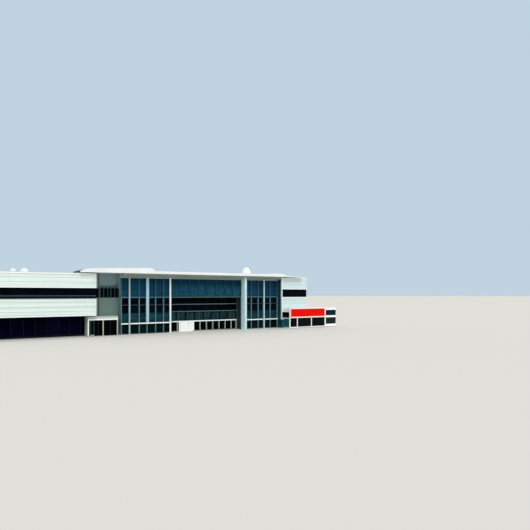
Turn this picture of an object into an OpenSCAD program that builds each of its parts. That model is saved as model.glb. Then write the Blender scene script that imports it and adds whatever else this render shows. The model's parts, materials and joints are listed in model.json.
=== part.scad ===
// Airport terminal building, as a 1:10 scale model: a tall glazed hall under a thin white roof,
// a panelled wing at each side, an entrance porch and a low pavilion with a red fascia.
// One model millimetre stands for ten real ones. The front looks towards -Y.

/* [Lengths along the front] */
// Left wing
left_wing_l = 2310; // [1200:5:3600]
// Clad link between the left wing and the glazed hall
link_l = 615; // [400:5:900]
// Glazed hall
hall_l = 4380; // [4200:10:4800]
// Right wing
right_wing_l = 910; // [700:10:1100]
// Red-fronted part of the pavilion
pavilion_l = 1270; // [1000:5:1600]
// Glazed room at the pavilion's right end
end_room_l = 410; // [300:10:800]

/* [Depths] */
// Hall, from its glass to its back wall
hall_d = 2200; // [1800:10:3000]
// Wings, from the hall's glass back to their rear walls
wing_back_d = 1600; // [1200:10:1800]
// Left wing's front before the hall's glass
left_wing_out = 200; // [100:5:250]
// Right wing's front before the hall's glass
right_wing_out = 160; // [100:5:250]
// Pavilion's front before the hall's glass
pavilion_out = 450; // [380:5:600]
// Ground-floor glazing of the wings, behind the hall's glass
ground_glass_in = 130; // [60:5:200]
// Clad link, behind the hall's glass
link_in = 200; // [160:5:300]
// Entrance porch's front before the hall's glass
porch_out = 100; // [60:5:180]
// Set-back of the hall's lower glazing
recess_d = 230; // [150:5:300]
// Roof overhang at the front
roof_front = 300; // [250:5:340]
// Roof overhang at the back
roof_back = 150; // [80:5:250]

/* [Heights above the ground] */
// Top of the floor slab
floor_z = 12; // [8:1:20]
// Underside of the white beams over the ground-floor doors
door_head_z = 232; // [210:1:245]
// Underside of the wings' upper storey
upper_z = 452; // [430:1:470]
// Sill of the ribbon windows
sill_z = 832; // [800:1:850]
// Head of the ribbon windows
head_z = 1042; // [1000:1:1070]
// Top of the wings' parapets
parapet_z = 1346; // [1330:1:1355]
// Head of the hall's glass
glass_head_z = 1283; // [1260:1:1300]
// Underside of the main roof at its front edge
roof_z = 1375; // [1365:1:1390]
// Thickness of the main roof
roof_t = 58; // [40:1:80]
// Top of the porch roof's fascia
porch_z = 429; // [400:1:440]
// Underside of the red fascia
fascia_z = 272; // [255:1:300]
// Top of the red fascia
fascia_top_z = 545; // [500:1:560]

/* [Walls and members] */
// Outer walls
wall_t = 30; // [24:1:40]
// Upper floors
slab_t = 30; // [20:1:50]
// Sheets of glass
glass_t = 8; // [6:1:12]
// Width of a thin mullion or rail
mullion_w = 16; // [10:1:24]
// Width of the slim bars over the set-back glazing
slim_w = 8; // [6:1:12]
// Depth of a mullion or rail, each side of the glass plane
mullion_d = 20; // [14:1:26]
// Height of the white beams over the ground-floor doors
beam_h = 28; // [22:1:44]
// Side of a main column
column_w = 32; // [26:1:60]
// Width of the broad column that stands on the beam
broad_column_w = 66; // [50:1:90]
// Width of the deep blade column
blade_w = 62; // [50:1:90]
// How far the blade column stands out
blade_out = 160; // [100:5:200]
// Side of a porch or pavilion post
post_w = 24; // [18:1:40]
// Height of one row of wall panels
panel_h = 94; // [60:1:140]
// Depth of the joints between panel rows
joint_d = 5; // [3:1:8]
// Width of the joints between panel rows
joint_w = 7; // [4:1:10]
// How far the trims round the panelled walls stand out
lip_d = 8; // [4:1:14]
// Height of those trims
lip_h = 22; // [12:1:30]
// Spacing of the ribs of the link's cladding
rib_pitch = 20; // [14:1:40]
// Depth of those ribs
rib_d = 7; // [4:1:10]

/* [Hidden] */

white = "#e9f2ee";
dark_glass = "#0b1b26";
teal_glass = "#1d4a58";
grey_clad = "#6a7f7b";

pavilion_gap = 85;
overall_l = left_wing_l + link_l + hall_l + pavilion_gap + pavilion_l + end_room_l;
overall_d = pavilion_out + hall_d + roof_back;

x_left = -overall_l / 2;
x_link = x_left + left_wing_l;
x_hall = x_link + link_l;
x_hall_end = x_hall + hall_l;
x_wing = x_hall_end + wall_t - glass_t;
x_wing_end = x_hall_end + right_wing_l;
x_pavilion = x_hall_end + pavilion_gap;
x_room = x_pavilion + pavilion_l;
x_right = x_room + end_room_l;

y_front = -overall_d / 2;
y_glass = y_front + pavilion_out;
y_left_wing = y_glass - left_wing_out;
y_right_wing = y_glass - right_wing_out;
y_ground = y_glass + ground_glass_in;
y_link = y_glass + link_in;
y_recess = y_glass + recess_d;
y_wing_back = y_glass + wing_back_d;
y_hall_back = y_glass + hall_d;
y_porch = y_glass - porch_out;

fascia_t = 10;
low_window_z = [120, 280];
wing_roof_z = parapet_z - 40;
transom_z = sill_z;
roof_top_z = roof_z + roof_t;
edge_w = 34;
ground_bays = 10;
beam_z = [door_head_z, door_head_z + beam_h];
rail_z = [480, 655];
side_rail_z = [655];

// Places along the hall, measured from the nearer of its two ends
left_column_x = [188, 618, 1188];
left_mullion_x = [430, 830, 1030];
right_column_in = 470;
right_mullion_in = [860, 640, 248];
right_column_x = hall_l - right_column_in;
right_mullion_x = [for (inset = right_mullion_in) hall_l - inset];
recess_in = [1230, 1180];
recess_x = [recess_in[0], hall_l - recess_in[1]];
blade_gap = 4;
blade_x = recess_x[1] + blade_gap;
recess_bays = 8;

// White block among the doors of the recess, and the row of doors beside it
block_in = 303;
block_x = recess_x[0] + block_in;
block_l = 365;
block_out = 12;
block_gap = 18;
screen_l = 260;
door_count = 7;
door_post_w = 26;
beam_out = 8;

// Main roof: thin tips beyond both ends of the hall, and eaves that slope down to its glass
left_tip_l = 365;
left_taper_l = 90;
left_tip_d = 490;
right_tip_l = 700;
tip_t = [18, 12];
right_tip_drop = 15;
side_eaves = 40;
function eaves_z(y) =
  glass_head_z + (roof_z - glass_head_z) * (y_glass - mullion_d - y) / (roof_front - mullion_d);

// Rise and fall of the roof's top near its right end, as distances from the hall's end
roof_crest = [[-700, 0], [-450, 14], [-250, 22], [-110, 19], [0, 5], [90, -31], [240, -41]];

// Raised monitor on the roof's left half: its heights over the roof and its sloping ends
monitor_rise = [34, 68];
monitor_run_in = 215;
monitor_end = 705;
monitor_run_out = 95;

// Domed ventilator on the roof, and the domed drums on the left wing
dome_in = 844;
dome_x = hall_l - dome_in;
dome_y = 250;
dome_r = 140;
dome_h = 188;
cap_share = 0.56;
curb_h = 14;
drum_x = [-1605, -1395];
drum_in = 140;
drum_d = [118, 172];
drum_h = [118, 129];

// Pavilion
trim_w = 32;
first_bay_l = 250;
pavilion_roof_t = 20;
pavilion_top_z = fascia_top_z - 15;
pavilion_soffit_z = pavilion_top_z - pavilion_roof_t;
side_frame = 8;
side_y = [y_front + fascia_t + post_w, y_right_wing - side_frame];
side_window_z = [275, 430];
side_screen_z = [24, 255];
room_frame = 14;
room_window_z = [316, 469];
room_screen_z = [79, 262];

// Porch and its door
porch_under = 145;
porch_l = 660;
x_porch = x_link - porch_under;
x_porch_end = x_porch + porch_l;
x_porch_mid = x_porch + 0.48 * porch_l;
porch_roof_t = 80;
porch_soffit_z = porch_z - porch_roof_t;
jamb_w = 20;
door_w = 92;
door_t = 8;
door_rail = 12;
pane_t = 4;
door_gap = 5;
pivot_r = 3;
pivot_edge = 6;
pivot_clear = 0.5;
pivot_bite = 6;
x_door = x_porch + post_w + jamb_w + door_gap;
doorway_x = [105, 425];
doorway_z = 255;

// A box between two corners, given as ranges
module block(x, y, z)
{
  translate([x[0], y[0], z[0]])
    cube([x[1] - x[0], y[1] - y[0], z[1] - z[0]]);
}

// Heights of the joints between the panel rows of a band, counted down from its top
function joints(z) = [for (j = [z[1] - panel_h : -panel_h : z[0] + panel_h / 2]) j];

// One corner of a band's outline in Y and Z: a trim that stands out, or a plain edge
function edge_trim(y, z, up) = [
  [y - lip_d, z], [y - lip_d, z + up * lip_h], [y, z + up * lip_h]
];

// Outline of one panelled band: trims at its edges and joints between its rows
function band_outline(y, z, foot) = concat(
  [[y[1], z[1]], [y[1], z[0]]],
  foot ? edge_trim(y[0], z[0], 1) : [[y[0], z[0]]],
  [for (j = reverse(joints(z)), step = [0:3])
    [y[0] + (step == 1 || step == 2 ? joint_d : 0), j + (step < 2 ? 0 : joint_w)]],
  reverse(edge_trim(y[0], z[1], -1))
);

function reverse(list) = [for (i = [len(list) - 1 : -1 : 0]) list[i]];

// A panelled front wall: two bands, joined by a strip at the left end of the ribbon window
// between them. The window runs on to the right corner. Each band has an upright trim at one end.
module panelled_front(x, y, z, lip_x, foot)
{
  drawn_along_x(x)
    polygon(band_outline(y, [z[0], sill_z], foot));
  drawn_along_x(x)
    polygon(band_outline(y, [head_z, z[1]], true));
  block([x[0], x[0] + edge_w], y, [sill_z, head_z]);
  for (band = [[z[0], sill_z], [head_z, z[1]]])
    block([lip_x, lip_x + lip_h], [y[0] - lip_d, y[0] + joint_d], band);
}

// Glass of such a wall's window, with a narrow return pane that closes the right corner
module corner_ribbon_sheet(x, y)
{
  y_mid = (y[0] + y[1]) / 2;
  block([x[0] + edge_w, x[1]], [y_mid - glass_t / 2, y_mid + glass_t / 2], [sill_z, head_z]);
  block([x[1] - glass_t, x[1]], [y_mid, y[1]], [sill_z, head_z]);
}

// A plain outer wall with one ribbon window cut through it
module ribbon_wall(x, y, z, sill, head)
{
  difference()
  {
    block(x, y, z);
    block([x[0] + edge_w, x[1] - edge_w], [y[0] - 1, y[1] + 1], [sill, head]);
  }
}

// The sheet of glass that closes a ribbon window
module ribbon_sheet(x, y, sill, head)
{
  y_mid = (y[0] + y[1]) / 2;
  block([x[0] + edge_w, x[1] - edge_w], [y_mid - glass_t / 2, y_mid + glass_t / 2], [sill, head]);
}

// An outline in Y and Z, drawn out along X
module drawn_along_x(x)
{
  translate([x[0], 0, 0])
    rotate([90, 0, 90])
      linear_extrude(x[1] - x[0])
        children();
}

// An outline in X and Z, drawn out along Y
module drawn_along_y(y)
{
  translate([0, y[1], 0])
    rotate([90, 0, 0])
      linear_extrude(y[1] - y[0])
        children();
}

// A bottom and a top rail
module rails(x, y, z)
{
  block(x, y, [z[0], z[0] + mullion_w]);
  block(x, y, [z[1] - mullion_w, z[1]]);
}

// Upright bars centred on the given places
module bars(places, w, y, z)
{
  for (x = places)
    block([x - w / 2, x + w / 2], y, z);
}

function bays(from, to, count) = [for (i = [0:count]) from + (to - from) * i / count];
function inner_bars(x, count) = bays(x[0] + mullion_w / 2, x[1] - mullion_w / 2, count);

module ground_floor()
{
  color("#9a9c98")
    difference()
    {
      floor_slabs();
      pivot_place() pivot(pivot_clear, pivot_bite + 2);
    }
}

module floor_slabs()
{
  z = [0, floor_z];
  block([x_left, x_link], [y_ground - mullion_d, y_wing_back], z);
  block([x_link - wall_t, x_hall + wall_t], [y_link, y_hall_back], z);
  block([x_hall, x_hall_end + wall_t], [y_recess - mullion_d, y_hall_back], z);
  block([x_hall, x_hall + recess_x[0]], [y_glass - mullion_d, y_recess], z);
  block([x_hall + recess_x[1], x_hall_end], [y_glass - mullion_d, y_recess], z);
  block([x_porch, x_porch_end], [y_porch, y_recess], z);
  block([x_hall_end, x_wing_end], [y_right_wing, y_wing_back], z);
  block([x_pavilion, x_right], [y_front + fascia_t, y_ground], z);
}

module left_wing_front_wall()
{
  color(white)
    panelled_front([x_left, x_link], [y_left_wing, y_left_wing + wall_t], [upper_z, parapet_z],
                   x_link - lip_h, true);
}

module left_wing_ribbon_glass()
{
  color(dark_glass)
    corner_ribbon_sheet([x_left, x_link], [y_left_wing, y_left_wing + wall_t]);
}

module left_wing_floor()
{
  color("#c9cfcb")
    block([x_left + wall_t, x_link - wall_t], [y_left_wing + wall_t, y_wing_back - wall_t],
          [upper_z, upper_z + slab_t]);
}

module left_wing_roof()
{
  color("#b9bfbb")
    block([x_left + wall_t, x_link - wall_t], [y_left_wing + wall_t, y_wing_back - wall_t],
          [wing_roof_z - slab_t, wing_roof_z]);
}

// Panel joints to be cut into an outer face, over a range of heights
module joint_cuts(x, y, z)
{
  for (j = joints(z))
    block(x, y, [j, j + joint_w]);
}

// An end wall whose upper storey runs out over the set-back ground floor
module stepped_end_wall(x, back)
{
  drawn_along_x(x)
    polygon([
      [y_left_wing + wall_t, upper_z], [y_ground + mullion_d, upper_z],
      [y_ground + mullion_d, floor_z], [back, floor_z],
      [back, parapet_z], [y_left_wing + wall_t, parapet_z]
    ]);
}

module left_wing_end_walls()
{
  color(white)
  {
    difference()
    {
      stepped_end_wall([x_left, x_left + wall_t], y_wing_back - wall_t);
      joint_cuts([x_left - 1, x_left + joint_d], [y_left_wing, y_wing_back], [floor_z, parapet_z]);
    }
    stepped_end_wall([x_link - wall_t, x_link], y_link);
  }
}

// A back wall with a ribbon window on each storey
module back_wall(x, y_back, top)
{
  y = [y_back - wall_t, y_back];
  color(white)
    difference()
    {
      ribbon_wall(x, y, [floor_z, top], sill_z, head_z);
      block([x[0] + edge_w, x[1] - edge_w], [y[0] - 1, y[1] + 1], low_window_z);
      for (z = [[low_window_z[1], sill_z], [head_z, top]])
        joint_cuts([x[0] - 1, x[1] + 1], [y_back - joint_d, y_back + 1], z);
    }
}

module left_wing_back_wall()
{
  back_wall([x_left, x_link - wall_t], y_wing_back, parapet_z);
}

module left_wing_ground_frame()
{
  x = [x_left, x_link];
  y = [y_ground - mullion_d, y_ground + mullion_d];
  z = [floor_z, upper_z];
  color("#20262b")
  {
    rails(x, y, z);
    bars(inner_bars(x, ground_bays), mullion_w, y, z);
  }
}

module left_wing_ground_glass()
{
  x = inner_bars([x_left, x_link], ground_bays);
  color(dark_glass)
    for (i = [0:len(x) - 2])
      block([x[i] + mullion_w / 2, x[i + 1] - mullion_w / 2],
            [y_ground - glass_t / 2, y_ground + glass_t / 2],
            [floor_z + mullion_w, upper_z - mullion_w]);
}

// A domed drum on the left wing's roof
module domed_drum(d, h)
{
  rotate_extrude($fn = 48)
    intersection()
    {
      union()
      {
        square([d / 2, h - d / 2]);
        translate([0, h - d / 2])
          circle(d = d);
      }
      square([d, h]);
    }
}

module wing_roof_domes()
{
  color("white")
    for (i = [0:1])
      translate([x_link + drum_x[i], y_left_wing + drum_in, wing_roof_z])
        domed_drum(drum_d[i], drum_h[i]);
}

// Ribbed face of the link's cladding in X and Y: one rib to each pitch
function ribbed_face(x, y) =
  let (count = floor((x[1] - x[0]) / rib_pitch), pitch = (x[1] - x[0]) / count)
  [for (i = [0:count - 1], p = [[0, 0], [0.5, 0], [0.62, 1], [0.88, 1]])
    [x[0] + (i + p[0]) * pitch, y - p[1] * rib_d]];

module link_wall()
{
  x = [x_link, x_hall];
  y = [y_link, y_link + wall_t];
  color(grey_clad)
    difference()
    {
      union()
      {
        translate([0, 0, floor_z])
          linear_extrude(roof_z - floor_z)
            polygon(concat(
              ribbed_face(x, y[0] + rib_d),
              [[x[1] + wall_t, y[0] + rib_d], [x[1] + wall_t, y[1]], [x[0], y[1]]]
            ));
        block([x_hall, x_hall + wall_t], [y_glass + mullion_d + glass_t, y[1]], [floor_z, roof_z]);
      }
      block([x[0] + edge_w, x[1] - edge_w], [y[0] - 1, y[1] + 1], [sill_z, head_z]);
      block([x[0] + doorway_x[0], x[0] + doorway_x[1]], [y[0] - 1, y[1] + 1],
            [floor_z - 1, doorway_z]);
    }
}

module link_window()
{
  color(dark_glass)
    ribbon_sheet([x_link, x_hall], [y_link, y_link + wall_t], sill_z, head_z);
}

module porch_roof()
{
  color("#c3cfcd")
    difference()
    {
      translate([0, 0, porch_soffit_z])
        linear_extrude(porch_roof_t)
          polygon([
            [x_porch, y_porch], [x_porch_end, y_porch], [x_porch_end, y_link],
            [x_link, y_link], [x_link, y_ground - mullion_d], [x_porch, y_ground - mullion_d]
          ]);
      pivot_place() pivot(pivot_clear, pivot_bite + 2);
    }
}

module porch_posts()
{
  color("white")
    for (x = [x_porch, x_porch_mid, x_porch_end - post_w])
      block([x, x + post_w], [y_porch, y_porch + post_w], [floor_z, porch_soffit_z]);
}

module porch_side_wall()
{
  color("#aab8b0")
    block([x_porch, x_porch + wall_t], [y_porch + post_w, y_ground - mullion_d],
          [floor_z, porch_soffit_z]);
}

module porch_glass()
{
  y_mid = y_porch + post_w / 2;
  y = [y_mid - glass_t / 2, y_mid + glass_t / 2];
  x_side = x_porch_end - post_w / 2;
  z = [floor_z, porch_soffit_z];
  color(dark_glass)
  {
    block([x_porch + post_w, x_door - door_gap], y, z);
    block([x_door + door_w + door_gap, x_porch_mid], y, z);
    block([x_porch_mid + post_w, x_porch_end - post_w], y, z);
    block([x_side - glass_t / 2, x_side + glass_t / 2], [y_porch + post_w, y_link], z);
  }
}

module pivot_place()
{
  translate([x_door + pivot_edge, y_porch + post_w / 2, 0])
    children();
}

// The door's upright pivot rod, or the bore around it, reaching into the floor and the roof
module pivot(clear, reach)
{
  translate([0, 0, floor_z - reach])
    cylinder(h = porch_soffit_z - floor_z + 2 * reach, r = pivot_r + clear, $fn = 32);
}

// A glazed leaf, drawn upright from its lower left corner: a frame, its pane and a push bar
module leaf(w, h)
{
  linear_extrude(door_t)
    difference()
    {
      square([w, h]);
      translate([door_rail, 2 * door_rail])
        square([w - 2 * door_rail, h - 3 * door_rail]);
    }
  translate([door_rail, 2 * door_rail, (door_t - pane_t) / 2])
    cube([w - 2 * door_rail, h - 3 * door_rail, pane_t]);
  translate([w - 1.5 * door_rail, 0.28 * h, door_t])
    cube([0.5 * door_rail, 0.3 * h, pane_t]);
}

module porch_door()
{
  color("#39434a")
    pivot_place()
    {
      translate([-pivot_edge, door_t / 2, floor_z + door_gap])
        rotate([90, 0, 0])
          leaf(door_w, porch_soffit_z - floor_z - 2 * door_gap);
      pivot(0, pivot_bite);
    }
}

// A column in front of the glass, cut off along the sloping eaves
module column(x, depth, foot = 0)
{
  y = [y_glass - mullion_d - depth, y_glass - mullion_d];
  drawn_along_x(x)
    polygon([[y[0], foot], [y[1], foot], [y[1], eaves_z(y[1])], [y[0], eaves_z(y[0])]]);
}

function centred(x, w) = [x_hall + x - w / 2, x_hall + x + w / 2];

module hall_columns()
{
  color("#d7e2e4")
  {
    for (x = [left_column_x[0], left_column_x[2], right_column_x])
      column(centred(x, column_w), column_w);
    column(centred(left_column_x[1], broad_column_w), column_w, beam_z[1]);
  }
}

module blade_column()
{
  color("#b9dad7")
    column([x_hall + blade_x, x_hall + blade_x + blade_w], blade_out);
}

// White beams over the ground-floor doors; the one on the left carries the broad column
module door_head_beams()
{
  front = [y_glass - mullion_d - beam_out, y_glass - mullion_d];
  recess = [y_recess - mullion_d - beam_out, y_recess - mullion_d];
  half = column_w / 2;
  color("white")
  {
    for (span = [[0, left_column_x[0] - half], [left_column_x[0] + half, left_column_x[2] - half],
                 [blade_x + blade_w, right_column_x - half], [right_column_x + half, hall_l]])
      block([x_hall + span[0], x_hall + span[1]], front, beam_z);
    block(centred(left_column_x[1], broad_column_w), [front[1] - column_w, front[0]], beam_z);
    block([x_hall + recess_x[0], x_hall + block_x], recess, beam_z);
    block([x_hall + block_x + block_l, x_hall + recess_x[1]], recess, beam_z);
  }
}

module hall_upper_frame()
{
  x = [x_hall, x_hall_end];
  y = [y_glass - mullion_d, y_glass + mullion_d];
  z = [transom_z, glass_head_z];
  wide = concat([mullion_w / 2, hall_l - mullion_w / 2, recess_x[0] - mullion_w / 2,
                 recess_x[1] + mullion_w / 2],
                left_column_x, [right_column_x], left_mullion_x, right_mullion_x);
  slim = bays(recess_x[0], recess_x[1], recess_bays);
  color("#8fa9b3")
  {
    rails(x, y, z);
    bars([for (place = wide) x_hall + place], mullion_w, y, z);
    bars([for (i = [1:recess_bays - 1]) x_hall + slim[i]], slim_w, y, z);
  }
}

// One stretch of the hall's lower glazing frame
module lower_frame(x, inner)
{
  y = [y_glass - mullion_d, y_glass + mullion_d];
  z = [floor_z, transom_z];
  rails(x, y, z);
  for (rail = concat([door_head_z], side_rail_z))
    block(x, y, [rail, rail + mullion_w]);
  bars(concat([x[0] + mullion_w / 2, x[1] - mullion_w / 2], inner), mullion_w, y, z);
}

module hall_lower_frames()
{
  color("#8fa9b3")
  {
    lower_frame([x_hall, x_hall + recess_x[0]],
                [for (x = concat([left_column_x[0], left_column_x[1]], left_mullion_x)) x_hall + x]);
    lower_frame([x_hall + recess_x[1], x_hall_end],
                [for (x = concat([right_column_x], right_mullion_x)) x_hall + x]);
  }
}

module hall_glass()
{
  y = [y_glass + mullion_d, y_glass + mullion_d + glass_t];
  recess = [x_hall + recess_x[0], x_hall + recess_x[1]];
  color(teal_glass)
    difference()
    {
      block([x_hall, x_hall_end], y, [floor_z, glass_head_z]);
      block(recess, [y[0] - 1, y[1] + 1], [floor_z - 1, transom_z + slab_t]);
    }
}

module recess_frame()
{
  x = [x_hall + recess_x[0], x_hall + recess_x[1]];
  y = [y_recess - mullion_d, y_recess + mullion_d];
  top = [beam_z[0], transom_z];
  doors = bays(x_hall + block_x + block_l + block_gap, x[1], door_count);
  half = door_post_w / 2;
  posts = concat([x[0] + half, x[0] + screen_l],
                 [for (door = doors) min(door + half, x[1] - half)]);
  color("#7d8f92")
  {
    rails(x, y, [floor_z, transom_z]);
    for (rail = concat([door_head_z], rail_z))
      block(x, y, [rail, rail + mullion_w]);
    bars(inner_bars(x, recess_bays), slim_w, y, top);
    bars(posts, door_post_w, y, [floor_z, beam_z[0]]);
  }
}

module recess_glass()
{
  color(dark_glass)
    block([x_hall + recess_x[0], x_hall + recess_x[1]],
          [y_recess + mullion_d, y_recess + mullion_d + glass_t], [floor_z, transom_z]);
}

module recess_ceiling()
{
  color("#5a666a")
    block([x_hall + recess_x[0], x_hall + recess_x[1]],
          [y_glass + mullion_d, y_recess + mullion_d], [transom_z, transom_z + slab_t]);
}

module recess_side_walls()
{
  color("#4a5256")
    for (x = [x_hall + recess_x[0] - wall_t, x_hall + recess_x[1]])
      block([x, x + wall_t], [y_glass + mullion_d + glass_t, y_recess + mullion_d],
            [floor_z, transom_z]);
}

module service_block()
{
  color("white")
    block([x_hall + block_x, x_hall + block_x + block_l],
          [y_recess - mullion_d - block_out, y_recess - mullion_d], [0, beam_z[1]]);
}

module hall_upper_floor()
{
  color("#8d9490")
    block([x_link, x_hall_end], [y_recess + mullion_d + glass_t, y_hall_back - wall_t],
          [upper_z, upper_z + slab_t]);
}

module hall_back_wall()
{
  back_wall([x_link - wall_t, x_hall_end + wall_t], y_hall_back, roof_z);
}

module hall_end_walls()
{
  z = [floor_z, roof_z];
  color(white)
  {
    block([x_link - wall_t, x_link], [y_link, y_hall_back - wall_t], z);
    block([x_hall_end, x_hall_end + wall_t],
          [y_glass + mullion_d, y_hall_back - wall_t], z);
  }
}

// Main roof. Its left tip is only a canopy at the front, and behind it the roof ends at the wall.
module hall_roof()
{
  left = x_link - left_tip_l;
  right = x_hall_end + right_tip_l;
  y = [y_glass - roof_front, y_hall_back + roof_back];
  y_seat = y_glass + mullion_d + glass_t;
  color("white")
  {
    difference()
    {
      drawn_along_y(y)
        polygon(concat(
          [[left, roof_z], [x_hall_end + wall_t, roof_z], [right, roof_z - right_tip_drop],
           [right, roof_z - right_tip_drop + tip_t[1]]],
          reverse([for (p = roof_crest) [x_hall_end + p[0], roof_top_z + p[1]]]),
          [[left + left_taper_l, roof_top_z], [left, roof_z + tip_t[0]]]
        ));
      block([left - 1, x_link - wall_t - side_eaves], [y[0] + left_tip_d, y[1] + 1],
            [roof_z - 1, roof_top_z + 1]);
    }
    drawn_along_x([x_hall, x_hall_end])
      polygon([
        [y_glass - roof_front, roof_z], [y_glass - mullion_d, glass_head_z],
        [y_seat, glass_head_z], [y_seat, roof_z]
      ]);
  }
}

module roof_monitor()
{
  left = x_link - left_tip_l + left_taper_l;
  right = x_hall + monitor_end;
  color("white")
    drawn_along_y([y_glass - roof_front, y_glass - roof_front + left_tip_d])
      polygon([
        [left, roof_top_z], [right, roof_top_z],
        [right - monitor_run_out, roof_top_z + monitor_rise[1]],
        [left + monitor_run_in, roof_top_z + monitor_rise[0]]
      ]);
}

// Radius of the bell-shaped dome at a share of its height: a round cap and a flared skirt
function bell_r(s) = dome_r * (cap_share * sqrt(1 - pow(s, 6)) + (1 - cap_share) * pow(1 - s, 1.5));

module roof_dome()
{
  color("white")
    translate([x_hall + dome_x, y_glass + dome_y, roof_top_z])
      rotate_extrude($fn = 64)
        polygon(concat(
          [[0, 0], [dome_r, 0]],
          [for (turn = [0:9:81])
            [bell_r(sin(turn)), curb_h + (dome_h - curb_h) * sin(turn)]],
          [[0, dome_h]]
        ));
}

module right_wing_front_wall()
{
  color("#dbe7e9")
    panelled_front([x_wing, x_wing_end], [y_right_wing, y_right_wing + wall_t],
                   [door_head_z, parapet_z], x_wing, false);
}

module right_wing_ribbon_glass()
{
  color(dark_glass)
    corner_ribbon_sheet([x_wing, x_wing_end], [y_right_wing, y_right_wing + wall_t]);
}

module right_wing_side_glass()
{
  color(teal_glass)
    block([x_wing, x_wing + glass_t], [y_right_wing + wall_t, y_glass + mullion_d],
          [floor_z, parapet_z]);
}

module right_wing_slab(z, tint)
{
  color(tint)
    block([x_hall_end + wall_t, x_wing_end - wall_t],
          [y_right_wing + wall_t, y_wing_back - wall_t], [z - slab_t, z]);
}

module right_wing_floor()
{
  right_wing_slab(upper_z + slab_t, "#c9cfcb");
}

module right_wing_roof()
{
  right_wing_slab(wing_roof_z, "#b9bfbb");
}

module right_wing_end_wall()
{
  y = [y_right_wing + wall_t, y_wing_back - wall_t];
  color("#dbe7e9")
    difference()
    {
      block([x_wing_end - wall_t, x_wing_end], y, [floor_z, parapet_z]);
      joint_cuts([x_wing_end - joint_d, x_wing_end + 1], [y[0] - 1, y[1] + 1],
                 [fascia_top_z, parapet_z]);
    }
}

module right_wing_back_wall()
{
  back_wall([x_hall_end + wall_t, x_wing_end], y_wing_back, parapet_z);
}

module right_wing_ground_glass()
{
  y = y_right_wing + wall_t / 2;
  color(dark_glass)
    block([x_wing, x_wing_end], [y - glass_t / 2, y + glass_t / 2], [floor_z, door_head_z]);
}

module back_glass()
{
  parts = [
    [x_left, x_link - wall_t, y_wing_back],
    [x_link - wall_t, x_hall_end + wall_t, y_hall_back],
    [x_hall_end + wall_t, x_wing_end, y_wing_back]
  ];
  color(dark_glass)
    for (part = parts)
    {
      y = [part[2] - wall_t, part[2]];
      ribbon_sheet([part[0], part[1]], y, sill_z, head_z);
      ribbon_sheet([part[0], part[1]], y, low_window_z[0], low_window_z[1]);
    }
}

module pavilion_roof()
{
  z = [pavilion_soffit_z, pavilion_top_z];
  color(white)
  {
    block([x_pavilion, x_right], [y_front + fascia_t, y_right_wing], z);
    block([x_wing_end, x_right], [y_right_wing, y_ground], z);
  }
}

module red_fascia()
{
  color("#e70e07")
    block([x_pavilion + trim_w, x_room - trim_w], [y_front, y_front + fascia_t],
          [fascia_z + trim_w, fascia_top_z - trim_w]);
}

module fascia_trim()
{
  color("#ffe9e4")
    difference()
    {
      block([x_pavilion, x_room], [y_front, y_front + fascia_t], [fascia_z, fascia_top_z]);
      block([x_pavilion + trim_w, x_room - trim_w], [y_front - 1, y_front + fascia_t + 1],
            [fascia_z + trim_w, fascia_top_z - trim_w]);
    }
}

function pavilion_post_x(i) =
  i == 0 ? x_pavilion : x_pavilion + first_bay_l + (pavilion_l - post_w - first_bay_l) * (i - 1) / 2;

module pavilion_posts()
{
  y = y_front + fascia_t;
  color("white")
    for (i = [0:3])
    {
      x = pavilion_post_x(i);
      block([x, x + post_w], [y, y + post_w], [floor_z, pavilion_soffit_z]);
    }
}

module pavilion_glass()
{
  y = y_front + fascia_t + post_w / 2;
  x = x_pavilion + wall_t / 2;
  color(dark_glass)
  {
    for (i = [0:2])
      block([pavilion_post_x(i) + post_w, pavilion_post_x(i + 1)],
            [y - glass_t / 2, y + glass_t / 2], [floor_z, pavilion_soffit_z]);
    for (z = [side_window_z, side_screen_z])
      block([x - glass_t / 2, x + glass_t / 2], side_y, z);
  }
}

module pavilion_walls()
{
  z = [floor_z, pavilion_soffit_z];
  color(white)
  {
    difference()
    {
      block([x_pavilion, x_pavilion + wall_t], [y_front + fascia_t + post_w, y_right_wing], z);
      for (opening = [side_window_z, side_screen_z])
        block([x_pavilion - 1, x_pavilion + wall_t + 1], side_y, opening);
    }
    block([x_wing_end, x_right - wall_t], [y_ground - wall_t, y_ground], z);
    block([x_right - wall_t, x_right], [y_front + fascia_t + wall_t, y_ground], z);
  }
}

module end_room_front()
{
  x = [x_room, x_right];
  y = [y_front + fascia_t, y_front + fascia_t + wall_t];
  color(white)
    difference()
    {
      block(x, y, [floor_z, pavilion_soffit_z]);
      for (opening = [room_window_z, room_screen_z])
        block([x[0] + room_frame, x[1] - side_frame], [y[0] - 1, y[1] + 1], opening);
    }
}

module end_room_glass()
{
  y = y_front + fascia_t + wall_t / 2;
  color("#1c3752")
    for (z = [room_window_z, room_screen_z])
      block([x_room + room_frame, x_right - side_frame], [y - glass_t / 2, y + glass_t / 2], z);
}

ground_floor();
left_wing_front_wall();
left_wing_ribbon_glass();
left_wing_floor();
left_wing_roof();
left_wing_end_walls();
left_wing_back_wall();
left_wing_ground_frame();
left_wing_ground_glass();
wing_roof_domes();
link_wall();
link_window();
porch_roof();
porch_posts();
porch_side_wall();
porch_glass();
porch_door();
hall_columns();
blade_column();
door_head_beams();
hall_upper_frame();
hall_lower_frames();
hall_glass();
recess_frame();
recess_glass();
recess_ceiling();
recess_side_walls();
service_block();
hall_upper_floor();
hall_back_wall();
hall_end_walls();
hall_roof();
roof_monitor();
roof_dome();
right_wing_front_wall();
right_wing_ribbon_glass();
right_wing_side_glass();
right_wing_floor();
right_wing_roof();
right_wing_end_wall();
right_wing_back_wall();
right_wing_ground_glass();
back_glass();
pavilion_roof();
red_fascia();
fascia_trim();
pavilion_posts();
pavilion_glass();
pavilion_walls();
end_room_front();
end_room_glass();
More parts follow.
